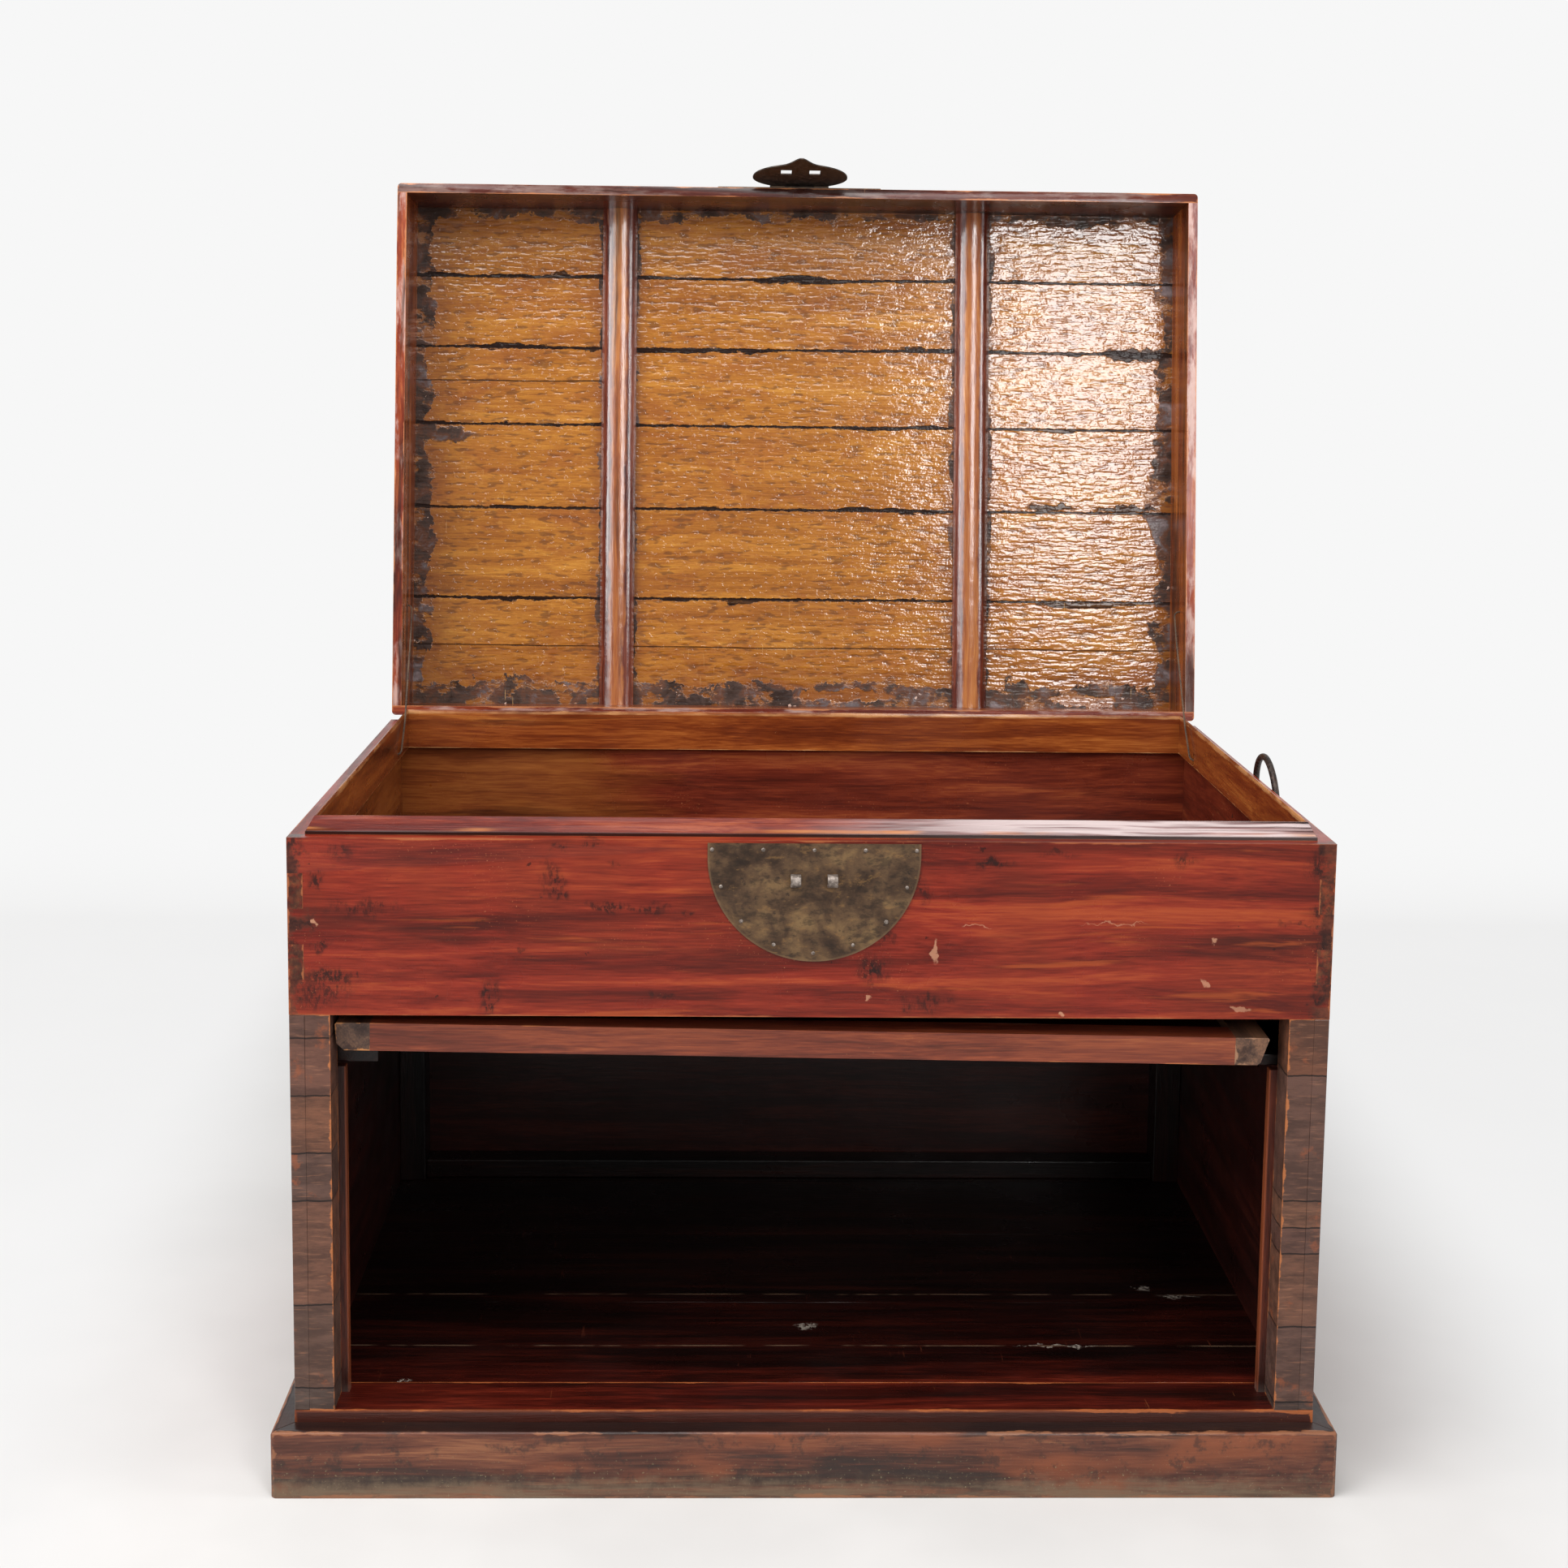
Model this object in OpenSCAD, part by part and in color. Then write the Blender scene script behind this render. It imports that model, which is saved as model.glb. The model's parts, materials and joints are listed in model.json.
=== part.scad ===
/* [Carcass] */
// Width across the front boards
carcass_w = 1210; // [1000:10:1500]
// Depth from the front boards to the back boards
carcass_d = 800; // [700:10:1000]
// Height from the top of the plinth to the rim
carcass_h = 705; // [640:5:900]
// Thickness of the front, back and side boards
board_t = 18; // [14:1:24]
// Height of the finger-jointed boards round the upper compartment
upper_h = 209; // [180:1:240]
// Number of fingers in each corner of the upper boards, an odd number
finger_count = 5; // [3:2:7]

/* [Plinth and bottom frame] */
// Height of the plinth
plinth_h = 82; // [60:2:110]
// How far the plinth stands out from the carcass
plinth_out = 25; // [20:1:45]
// Thickness of the plinth rails
plinth_t = 56; // [52:1:90]
// Rounding of the plinth's upper and corner edges
plinth_round = 7; // [3:1:12]
// Depth of the front and back sills
sill_d = 72; // [60:2:90]
// Thickness of the sills and of the floor planks
sill_t = 15; // [12:1:20]
// Width of the two bearers under the lower floor
bearer_w = 45; // [30:1:70]

/* [Door frame] */
// Width of the front posts
post_w = 29; // [24:1:40]
// Depth of the front posts
post_d = 47; // [42:1:60]
// Width of the rear posts
rear_post_w = 38; // [30:1:50]
// Thickness of the rail along the foot of the back
back_rail_t = 40; // [25:1:50]
// Height of the rail along the foot of the back
back_rail_h = 27; // [18:1:40]
// How far the stop strips stand into the opening past the posts
strip_show = 9.5; // [6:0.5:14]
// Width of the stop strips
strip_w = 28; // [20:1:36]
// Thickness of the stop strips
strip_t = 12; // [8:1:16]
// Gap from the upper front board down to the top of the stop strips
strip_drop = 77; // [76:1:90]

/* [Drop panel] */
// Play of the panel between the front posts, both sides together
panel_play_w = 20; // [17:1:30]
// Play of the closed panel between the sill and the upper front board
panel_play_h = 4; // [2:1:12]
// Thickness of the panel's frame
panel_t = 33; // [26:1:36]
// Width of the panel's stiles and rails
panel_frame_w = 41; // [32:1:60]
// Thickness of the planks in the panel's frame
panel_plank_t = 12; // [9:1:16]
// Depth of the groove that holds the planks
panel_groove = 8; // [5:1:12]
// Length of the tenons on the panel's rails
panel_tenon = 20; // [12:1:26]
// How far the stowed panel stands back from the front boards
panel_back = 16; // [8:1:24]
// How far the stowed panel lies to the left of the middle
panel_left = 8; // [0:1:8]
// How much higher the left runner carries the panel than the right one
panel_step = 14; // [0:1:16]
// Gap from the upper front board down to the middle of the panel's underside
panel_drop = 54; // [50:1:60]
// Inward slope of the panel's left side from its top to its underside
panel_slope_left = 3; // [0:1:8]
// Inward slope of the panel's right side from its top to its underside
panel_slope_right = 11; // [0:1:14]
// Size of the planed corner under the panel's left side
panel_cut_left = 8; // [2:1:10]
// Size of the planed corner under the panel's right side
panel_cut_right = 3; // [2:1:10]
// Width of the runners under the stowed panel
runner_w = 75; // [70:1:90]

/* [Compartment and rim] */
// Thickness of the planks in the floor of the upper compartment
deck_t = 15; // [10:1:20]
// Height of that floor's underside over the lower edge of the front board
deck_up = 6; // [2:1:12]
// Width of the bearers under that floor
deck_bearer_w = 22; // [16:1:30]
// Height of the bearers under that floor
deck_bearer_h = 16; // [10:1:20]
// Thickness of the lip strips inside the rim
lip_t = 12; // [9:1:16]
// Height of the lip strips
lip_h = 52; // [40:1:70]
// How far the lip stands above the rim
lip_up = 15; // [10:1:22]

/* [Lid] */
// Height of the lid's rails
lid_rail_h = 120; // [110:2:150]
// Thickness of the lid's rails
lid_rail_t = 14; // [11:1:16]
// Thickness of the lid's planks
lid_plank_t = 13; // [9:1:18]
// Distance of each batten from the middle of the lid
batten_x = 275; // [220:1:320]
// Width of the battens
batten_w = 53; // [44:1:60]
// Thickness of the battens
batten_t = 17; // [12:1:22]
// Width of the flat between the two slopes of a batten
batten_flat = 20; // [12:1:30]
// Height of a batten's straight sides, above which its slopes begin
batten_side = 7; // [4:1:10]
// Angle to which the lid stands open on its stays
lid_open = 97.5; // [92:0.5:105]
// Gap under the closed lid
lid_seat = 0.3; // [0.2:0.05:0.6]

/* [Lock] */
// Radius of the half-round lock plates
plate_r = 123; // [110:1:126]
// Thickness of the plates
plate_t = 2; // [1.5:0.1:3]
// Straight part above the half circle of the lower plate
plate_straight = 16; // [8:1:24]
// Distance of both plates from the line between lid and carcass
plate_gap = 3; // [2:0.5:5]
// Distance of the staples below the rim
staple_drop = 46; // [40:1:52]
// Distance between the two staples
staple_pitch = 42.5; // [38:0.5:50]
// Width of a staple's strip
staple_w = 12; // [9:1:13]
// Height of a staple
staple_h = 14; // [12:1:15]
// How far a staple stands out from the board
staple_out = 14.5; // [13:0.5:15]
// Thickness of a staple's strip
staple_t = 2.2; // [1.6:0.1:2.4]
// Width of the hasp's slots
slot_w = 16; // [14.5:0.5:18]
// Height of the hasp's slots
slot_h = 17; // [16.5:0.5:20]
// Greatest width of the hasp
hasp_w = 142; // [120:2:160]
// Length of the hasp from its pin to its tip
hasp_l = 114; // [104:1:124]
// Thickness of the hasp
hasp_t = 2; // [1.5:0.1:2.4]
// Height of the hasp's pin above the rim
hasp_pin_up = 14; // [13:0.5:18]
// Radius of the hasp's pin
hasp_pin_r = 1.6; // [1.3:0.1:1.8]
// Outer radius of the hasp's knuckles
hasp_knuckle_r = 3.2; // [2.8:0.1:3.4]
// Length of the hasp's middle knuckle
hasp_knuckle_l = 44; // [30:1:50]
// Length of each fixed knuckle on the lid's plate
plate_knuckle_l = 20; // [12:1:24]
// Angle by which the hasp is lifted off the face of the lid
hasp_lift = 9.5; // [9.5:0.5:14]
// Radius of the domed nail heads
nail_r = 2.6; // [2:0.1:3.2]
// Length of the nails below their heads
nail_l = 11; // [8:1:12]

/* [Side handles] */
// Distance from the front boards to the middle of a handle
handle_y = 380; // [320:5:440]
// Distance of the handle's eyes below the rim
handle_drop = 65; // [58:1:90]
// Distance between the feet of a bail's legs
bail_w = 130; // [110:2:160]
// Height of a bail from its eyes to the middle of its bar
bail_h = 96; // [80:1:110]
// Diameter of a bail's rod
bail_d = 8.8; // [7:0.2:10]
// Angle by which a bail's legs spread towards their feet
bail_flare = 8; // [4:1:12]
// Radius of the wire in a handle's eye
eye_wire_r = 2.8; // [2.2:0.1:3.4]
// Radius of the rose behind a handle's eye
rose_r = 14; // [11:0.5:18]
// Thickness of the rose
rose_t = 1.6; // [1.2:0.1:2.4]
// Angle by which a raised bail leans towards the chest
bail_lean = 4; // [2:0.5:4]

/* [Rear hinges] */
// Distance of each rear hinge from the middle
hinge_x = 350; // [250:10:420]
// Width of a hinge leaf
leaf_w = 70; // [60:1:90]
// Height of a hinge leaf
leaf_h = 56; // [44:1:70]
// Thickness of a hinge leaf
leaf_t = 2; // [1.6:0.1:2.6]
// Outer radius of the hinge knuckles
knuckle_r = 5.5; // [4.6:0.1:6.5]
// Radius of the hinge pins
pin_r = 3; // [2.4:0.1:3.4]
// Length of the lid's knuckle
lid_knuckle_l = 24; // [16:1:26]

/* [Hidden] */
$fn = 48;

// Colours of the lacquer, the bare wood and the metals
lacquer = "#8a4a30";
dark_lacquer = "#4a2a20";
plinth_brown = "#3e2a24";
inside_brown = "#3a2220";
golden_brown = "#8c5526";
aged_brass = "#6e5a40";
dark_iron = "#3b3431";
stay_brown = "#7a6a5c";

// Relative widths of the planks, from the hinges to the front and from the front to the back
lid_plank_shares = [36, 28, 26, 24, 22, 24];
floor_plank_shares = [23, 23, 20];
deck_plank_shares = [1, 1, 1];

// Clearances between pieces that turn, slide or pass through each other
pin_fit = 0.05;
pin_head_t = 2;
pin_head_step = 1.2;
knuckle_gap = 0.5;
barrel_gap = 0.3;
staple_fit = 0.1;
eye_fit = 0.4;
nail_fit = 0.1;
nail_shank_r = 1;
nail_edge = 5;
lid_round = 6;
stile_cut = 2;
plank_gap = 0.6;
bail_joint = 0.2;
panel_seat = 0.2;

// Heights of the levels, from the ground up
rim_z = plinth_h + carcass_h;
board_z = rim_z - upper_h;
floor_z = plinth_h + sill_t;
deck_z = board_z + deck_up;
strip_top = board_z - strip_drop;
panel_z = board_z - panel_drop;
panel_h = board_z - floor_z - panel_play_h;
handle_z = rim_z - handle_drop;
inner_x = carcass_w / 2 - board_t;
inner_y = carcass_d - board_t;
lid_z = rim_z + lid_seat;
lid_h = lid_rail_h + lid_plank_t;
rear_post_d = sill_d - board_t;

// The rear hinges turn about a line just outside the back boards
hinge_y = carcass_d + knuckle_r + barrel_gap;
hinge_z = rim_z;

// The origin lies under the middle of the whole chest with its lid open
lid_back_y = hinge_y - hinge_y * cos(lid_open) + (lid_h + lid_seat) * sin(lid_open);
middle_y = (lid_back_y - plinth_out) / 2;

// The hasp turns in front of the lid's plate
hasp_y = -plate_t - hasp_knuckle_r - barrel_gap;
hasp_z = rim_z + hasp_pin_up;
hasp_slot_r = hasp_pin_up + staple_drop;
hasp_neck_r = hasp_knuckle_r + 1;
hasp_belly = hasp_l / 3;

// The stop strips, the stowed panel and the runners that carry it
panel_w = 2 * (inner_x - post_w) - panel_play_w;
panel_tilt = atan(panel_step / panel_w);
strip_x = inner_x - post_w - strip_show;
runner_y = post_d + strip_t;
runner_end = carcass_d - sill_d;
runner_foot = strip_top + 2;

// The handles' eyes hold the bails clear of the sides
eye_r = bail_d / 2 + eye_fit + eye_wire_r;
eye_x = carcass_w / 2 + rose_t + eye_r + eye_wire_r;
eye_y = bail_w / 2 + bail_d / 2 + 2 * eye_wire_r;
stub_l = bail_d / 2 + 4 * eye_wire_r;
stub_head_r = bail_d / 2 + 2;
stub_head_t = 3;

// A bail's round top: its radius and the height of its centre over the eyes
bail_r = (bail_w / 2 - bail_h * tan(bail_flare)) * cos(bail_flare) / (1 - sin(bail_flare));
bail_centre = bail_h - bail_r;
bail_leg = (bail_centre + bail_r * sin(bail_flare)) / cos(bail_flare);

// Each lid stay runs from a hole in the lid's side rail to a slot in the lip. Its route is counted
// from the hinge line and from the inner face of the left side, towards the middle of the chest
stay_r = 1.5;
stay_hole_r = 2;
stay_hole_depth = 8;
stay_slot_w = 8;
stay_slot_h = 20;
stay_sides = 8;
stay_ring = 9;
stay_route = [
    [-12, 69, 164], [-4, 69, 164], [0, 68.2, 163.3], [3, 66, 161.3], [4.5, 63, 158.6],
    [8, 23.5, 122.3], [10.5, -16, 86.2], [13, -55.5, 50], [15.5, -95, 13.8], [16, -136, -23],
    [15, -139, -25.7], [12, -141.2, -27.6], [8, -142, -28.4], [-8, -142, -28.4]
];
stay_top_y = hinge_y + stay_route[0][1];
stay_top_z = hinge_z + stay_route[0][2];
stay_foot_y = hinge_y + stay_route[len(stay_route) - 1][1];
stay_foot_z = hinge_z + stay_route[len(stay_route) - 1][2];

// Sum of the first n values of a list
function sum(list, n) = n <= 0 ? 0 : list[n - 1] + sum(list, n - 1);

// Everything is placed from the carcass's front face, then set over the origin
module chest() {
    translate([0, -middle_y, 0]) children();
}

// The lid's pieces are modelled closed and opened about the hinges
module on_lid() {
    chest()
        translate([0, hinge_y, hinge_z])
            rotate([-lid_open, 0, 0])
                translate([0, -hinge_y, -hinge_z])
                    children();
}

// A rectangle with one radius on all corners
module rounded_rect(w, h, r) {
    translate([r, 0]) square([w - 2 * r, h]);
    translate([0, r]) square([w, h - 2 * r]);
    for (x = [r, w - r], y = [r, h - r])
        translate([x, y]) circle(r);
}

// A bar along X with mitred ends; the children are its section, outer face at 0
module mitred_bar(length, width, height) {
    intersection() {
        translate([-length / 2, 0, 0])
            rotate([90, 0, 90])
                linear_extrude(length) children();
        linear_extrude(height)
            polygon([
                [-length / 2, 0], [length / 2, 0],
                [length / 2 - width, width], [-length / 2 + width, width]
            ]);
    }
}

// A plate on the front: the children are drawn as seen from the front
module on_front(y, thickness) {
    translate([0, y, 0])
        rotate([90, 0, 0])
            linear_extrude(thickness) children();
}

// Plinth

module plinth_section() {
    r = plinth_round;
    difference() {
        square([plinth_t, plinth_h]);
        translate([0, plinth_h - r]) square(r);
    }
    translate([r, plinth_h - r]) circle(r);
}

module plinth_rail(length) {
    mitred_bar(length, plinth_t, plinth_h) plinth_section();
}

module plinth_outline() {
    w = carcass_w + 2 * plinth_out;
    d = carcass_d + 2 * plinth_out;
    linear_extrude(plinth_h)
        translate([-w / 2, -plinth_out]) rounded_rect(w, d, plinth_round);
}

module plinth_end(side) {
    color(plinth_brown)
        chest()
            intersection() {
                translate([side * (carcass_w / 2 + plinth_out), carcass_d / 2, 0])
                    rotate(side * 90) plinth_rail(carcass_d + 2 * plinth_out);
                plinth_outline();
            }
}

module plinth_front() {
    color(plinth_brown)
        chest()
            intersection() {
                translate([0, -plinth_out, 0]) plinth_rail(carcass_w + 2 * plinth_out);
                plinth_outline();
            }
}

module plinth_back() {
    color(plinth_brown)
        chest()
            intersection() {
                translate([0, carcass_d + plinth_out, 0])
                    rotate(180) plinth_rail(carcass_w + 2 * plinth_out);
                plinth_outline();
            }
}

module plinth_left() {
    plinth_end(-1);
}

module plinth_right() {
    plinth_end(1);
}

// Two bearers stand on edge between the plinth's front and back rails
module floor_bearers() {
    length = carcass_d + 2 * plinth_out - 2 * plinth_t;
    color(plinth_brown)
        chest()
            for (x = [-carcass_w / 6, carcass_w / 6])
                translate([x - bearer_w / 2, plinth_t - plinth_out, plinth_h / 4])
                    cube([bearer_w, length, plinth_h * 3 / 4]);
}

// Bottom frame and lower floor

module sill(y) {
    translate([-carcass_w / 2, y, plinth_h]) cube([carcass_w, sill_d, sill_t]);
}

module sill_front() {
    color(lacquer) chest() sill(0);
}

module sill_back() {
    color(dark_lacquer) chest() sill(carcass_d - sill_d);
}

// Planks side by side along X, from y0 to y1, as wide as their shares
module planks(y0, y1, z, thickness, half_w, shares) {
    total = sum(shares, len(shares));
    for (i = [0 : len(shares) - 1]) {
        a = y0 + (y1 - y0) * sum(shares, i) / total;
        b = y0 + (y1 - y0) * sum(shares, i + 1) / total;
        translate([-half_w, a, z])
            cube([2 * half_w, b - a - (i < len(shares) - 1 ? plank_gap : 0), thickness]);
    }
}

module floor_planks() {
    color(inside_brown)
        chest() planks(sill_d, carcass_d - sill_d, plinth_h, sill_t, inner_x, floor_plank_shares);
}

// Door frame

module front_post(side) {
    color(lacquer)
        chest()
            translate([side > 0 ? inner_x - post_w : -inner_x, 0, floor_z])
                cube([post_w, post_d, board_z - floor_z]);
}

module front_post_left() {
    front_post(-1);
}

module front_post_right() {
    front_post(1);
}

module rear_posts() {
    color(inside_brown)
        chest()
            for (x = [-inner_x, inner_x - rear_post_w])
                translate([x, carcass_d - sill_d, floor_z])
                    cube([rear_post_w, rear_post_d, board_z - floor_z]);
}

module back_foot_rail() {
    half = inner_x - rear_post_w;
    color(inside_brown)
        chest()
            translate([-half, inner_y - back_rail_t, floor_z])
                cube([2 * half, back_rail_t, back_rail_h]);
}

module stop_strips() {
    color(dark_lacquer)
        chest()
            for (x = [-strip_x - strip_w, strip_x])
                translate([x, post_d, floor_z])
                    cube([strip_w, strip_t, strip_top - floor_z]);
}

// Lower boards: the sides drop between the two sills

module lower_side(side) {
    color(lacquer)
        chest()
            difference() {
                translate([side > 0 ? inner_x : -carcass_w / 2, 0, plinth_h])
                    cube([board_t, carcass_d, board_z - plinth_h]);
                for (y = [-1, carcass_d - sill_d])
                    translate([-carcass_w, y, plinth_h - 1])
                        cube([2 * carcass_w, sill_d + 1, sill_t + 1]);
            }
}

module lower_side_left() {
    lower_side(-1);
}

module lower_side_right() {
    lower_side(1);
}

module lower_back() {
    color(lacquer)
        chest()
            translate([-inner_x, inner_y, floor_z])
                cube([2 * inner_x, board_t, board_z - floor_z]);
}

// Upper boards, joined at the corners by fingers

module finger_cells(parity) {
    cell = upper_h / finger_count;
    for (i = [parity : 2 : finger_count - 1])
        translate([0, 0, board_z + i * cell]) cube([board_t, board_t, cell]);
}

// Cuts the sockets of one board out of all four corners
module finger_sockets(parity) {
    for (x = [-carcass_w / 2, inner_x], y = [0, inner_y])
        translate([x, y, 0]) finger_cells(parity);
}

module upper_cross_board(y) {
    difference() {
        translate([-carcass_w / 2, y, board_z]) cube([carcass_w, board_t, upper_h]);
        finger_sockets(1);
    }
}

module upper_side_board(x) {
    difference() {
        translate([x, 0, board_z]) cube([board_t, carcass_d, upper_h]);
        finger_sockets(0);
        for (y = [handle_y - eye_y, handle_y + eye_y])
            translate([x - 1, y, handle_z])
                rotate([0, 90, 0]) cylinder(r = eye_wire_r + nail_fit, h = board_t + 2);
        stay_foot_holes();
    }
}

module upper_front() {
    color(lacquer)
        chest()
            difference() {
                upper_cross_board(0);
                staple_legs();
                at_lock_nails() nail_hole();
            }
}

module upper_back() {
    color(lacquer)
        chest()
            difference() {
                upper_cross_board(inner_y);
                at_leaf_nails(-1) nail_hole();
            }
}

module upper_left() {
    color(lacquer) chest() upper_side_board(-carcass_w / 2);
}

module upper_right() {
    color(lacquer) chest() upper_side_board(inner_x);
}

// Floor of the upper compartment

module deck_bearers() {
    color(inside_brown)
        chest()
            for (x = [-inner_x, inner_x - deck_bearer_w])
                translate([x, post_d, deck_z - deck_bearer_h])
                    cube([deck_bearer_w, carcass_d - sill_d - post_d, deck_bearer_h]);
}

module deck_planks() {
    color(golden_brown)
        chest() planks(board_t, inner_y, deck_z, deck_t, inner_x, deck_plank_shares);
}

// Lip: four mitred strips inside the rim, each with a half-round top

module lip_section() {
    square([lip_t, lip_h - lip_t / 2]);
    translate([lip_t / 2, lip_h - lip_t / 2]) circle(lip_t / 2);
}

module lip_strip(length) {
    mitred_bar(length, lip_t, lip_h) lip_section();
}

module lip_end(side) {
    color(golden_brown)
        chest()
            difference() {
                translate([side * inner_x, carcass_d / 2, rim_z + lip_up - lip_h])
                    rotate(side * 90) lip_strip(inner_y - board_t);
                stay_slots();
            }
}

module lip_front() {
    color(golden_brown)
        chest()
            translate([0, board_t, rim_z + lip_up - lip_h]) lip_strip(2 * inner_x);
}

module lip_back() {
    color(golden_brown)
        chest()
            translate([0, inner_y, rim_z + lip_up - lip_h])
                rotate(180) lip_strip(2 * inner_x);
}

module lip_left() {
    lip_end(-1);
}

module lip_right() {
    lip_end(1);
}

// Drop panel, stowed flat on its runners

// Height of the panel's underside at a distance from the middle of the chest
function panel_under(x) = panel_z - (x + panel_left) * tan(panel_tilt);

module runner(side) {
    outer = side * inner_x;
    inner = side * (inner_x - runner_w);
    color(dark_lacquer)
        chest()
            translate([0, runner_end, 0])
                rotate([90, 0, 0])
                    linear_extrude(runner_end - runner_y)
                        polygon([
                            [outer, runner_foot], [inner, runner_foot],
                            [inner, panel_under(inner) - panel_seat], [outer, panel_under(outer) - panel_seat]
                        ]);
}

module runner_left() {
    runner(-1);
}

module runner_right() {
    runner(1);
}

// The panel's own frame: X across, Y from its front edge, Z up from its underside
module on_panel() {
    chest()
        translate([-panel_left, panel_back, panel_z])
            rotate([0, panel_tilt, 0]) children();
}

// The tenons of both rails, as bars that run from one stile into the other
module panel_tenons() {
    half = panel_w / 2 - panel_frame_w + panel_tenon;
    for (y = [0, panel_h - panel_frame_w])
        translate([-half, y + panel_frame_w / 4, panel_t / 3])
            cube([2 * half, panel_frame_w / 2, panel_t / 3]);
}

// The planks between the rails, which sit in a groove all round
module panel_boards() {
    inset = panel_frame_w - panel_groove;
    planks(inset, panel_h - inset, (panel_t - panel_plank_t) / 2, panel_plank_t, panel_w / 2 - inset, [1, 1]);
}

// A stile's section: its outer side slopes in towards the underside, and both outer corners are planed off
module stile_section(slope, cut) {
    polygon([
        [-panel_frame_w, 0], [-slope - cut, 0], [-slope * (1 - cut / panel_t), cut],
        [-slope * stile_cut / panel_t, panel_t - stile_cut], [-stile_cut, panel_t], [-panel_frame_w, panel_t]
    ]);
}

module panel_stile(side, slope, cut) {
    color(dark_lacquer)
        on_panel()
            difference() {
                mirror([side < 0 ? 1 : 0, 0, 0])
                    translate([panel_w / 2, panel_h, 0])
                        rotate([90, 0, 0])
                            linear_extrude(panel_h) stile_section(slope, cut);
                panel_tenons();
                panel_boards();
            }
}

module panel_stile_left() {
    panel_stile(-1, panel_slope_left, panel_cut_left);
}

module panel_stile_right() {
    panel_stile(1, panel_slope_right, panel_cut_right);
}

module panel_rail(y) {
    length = panel_w - 2 * panel_frame_w;
    color(dark_lacquer)
        on_panel()
            difference() {
                union() {
                    translate([-length / 2, y, 0]) cube([length, panel_frame_w, panel_t]);
                    intersection() {
                        panel_tenons();
                        translate([-panel_w, y, 0]) cube([2 * panel_w, panel_frame_w, panel_t]);
                    }
                }
                panel_boards();
            }
}

module panel_rail_front() {
    panel_rail(0);
}

module panel_rail_rear() {
    panel_rail(panel_h - panel_frame_w);
}

module panel_planks() {
    color(dark_lacquer) on_panel() panel_boards();
}

// Lock plates, nails, staples and hasp

module half_disc(r) {
    intersection() {
        circle(r);
        translate([-r, -r]) square([2 * r, r]);
    }
}

// A nail with a domed head; the plate's face is at height 0
module nail() {
    rotate_extrude() {
        intersection() {
            translate([0, -nail_r * 0.8]) circle(nail_r * 1.3);
            square(nail_r);
        }
        translate([0, -nail_l]) square([nail_shank_r, nail_l]);
    }
}

module nail_hole() {
    translate([0, 0, -nail_l - nail_fit]) cylinder(r = nail_shank_r + nail_fit, h = 2 * nail_l);
}

// Puts the children at each nail of the lower plate
module at_lock_nails() {
    centre_z = rim_z - plate_gap - plate_straight;
    for (x = [-1, -0.5, 0, 0.5, 1])
        translate([x * (plate_r - nail_edge), -plate_t, rim_z - plate_gap - 1.5 * nail_edge])
            rotate([90, 0, 0]) children();
    for (a = [-72 : 24 : 72])
        translate([(plate_r - 2 * nail_edge) * sin(a), -plate_t, centre_z - (plate_r - 2 * nail_edge) * cos(a)])
            rotate([90, 0, 0]) children();
}

// Puts the children at each nail of the lid's plate
module at_lid_nails() {
    edge_z = lid_z + plate_gap;
    for (x = [-1, -0.6, 0.6, 1])
        translate([x * (plate_r - 2 * nail_edge), -plate_t, edge_z + 1.5 * nail_edge])
            rotate([90, 0, 0]) children();
    for (a = [-72 : 24 : 72])
        translate([(plate_r - 2 * nail_edge) * sin(a), -plate_t, edge_z + (plate_r - 2 * nail_edge) * cos(a)])
            rotate([90, 0, 0]) children();
}

// Puts the children at each nail of the rear leaves, on the carcass or on the lid
module at_leaf_nails(side) {
    for (x = [-hinge_x, hinge_x], p = [[-1, 0.75], [1, 0.75], [0, 0.45]])
        translate([x + p[0] * leaf_w * 0.32, carcass_d + leaf_t, hinge_z + side * p[1] * leaf_h])
            rotate([-90, 0, 0]) children();
}

// A half-round plate with its straight edge at height 0, hanging down
module half_round_plate(straight) {
    on_front(0, plate_t) {
        translate([0, -straight]) half_disc(plate_r);
        translate([-plate_r, -straight - 1]) square([2 * plate_r, straight + 1]);
    }
}

// The two legs of each staple as they pass through the plate and the board
module staple_legs() {
    for (x = [-staple_pitch / 2, staple_pitch / 2], z = [-staple_h / 2, staple_h / 2 - staple_t])
        translate([x - staple_w / 2 - staple_fit, -plate_t - 1, rim_z - staple_drop + z - staple_fit])
            cube([staple_w + 2 * staple_fit, board_t + plate_t + 2, staple_t + 2 * staple_fit]);
}

module lock_plate() {
    color(aged_brass)
        chest()
            difference() {
                translate([0, 0, rim_z - plate_gap]) half_round_plate(plate_straight);
                staple_legs();
                at_lock_nails() nail_hole();
            }
}

// A staple's outline from the side: x is its depth into the board
module staple_outline(inset) {
    r = staple_h / 2 - inset;
    nose = staple_h / 2 - staple_out;
    translate([nose, 0]) circle(r);
    translate([nose, -r]) square([board_t - nose, 2 * r]);
}

module staples() {
    color(dark_iron)
        chest()
            for (x = [-staple_pitch / 2, staple_pitch / 2])
                translate([x - staple_w / 2, 0, rim_z - staple_drop])
                    rotate([90, 0, 90])
                        linear_extrude(staple_w)
                            difference() {
                                staple_outline(0);
                                staple_outline(staple_t);
                            }
}

module carcass_nails() {
    color(dark_iron)
        chest() {
            at_lock_nails() nail();
            at_leaf_nails(-1) nail();
        }
}

module lid_nails() {
    color(dark_iron)
        on_lid() {
            at_lid_nails() nail();
            at_leaf_nails(1) nail();
        }
}

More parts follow.
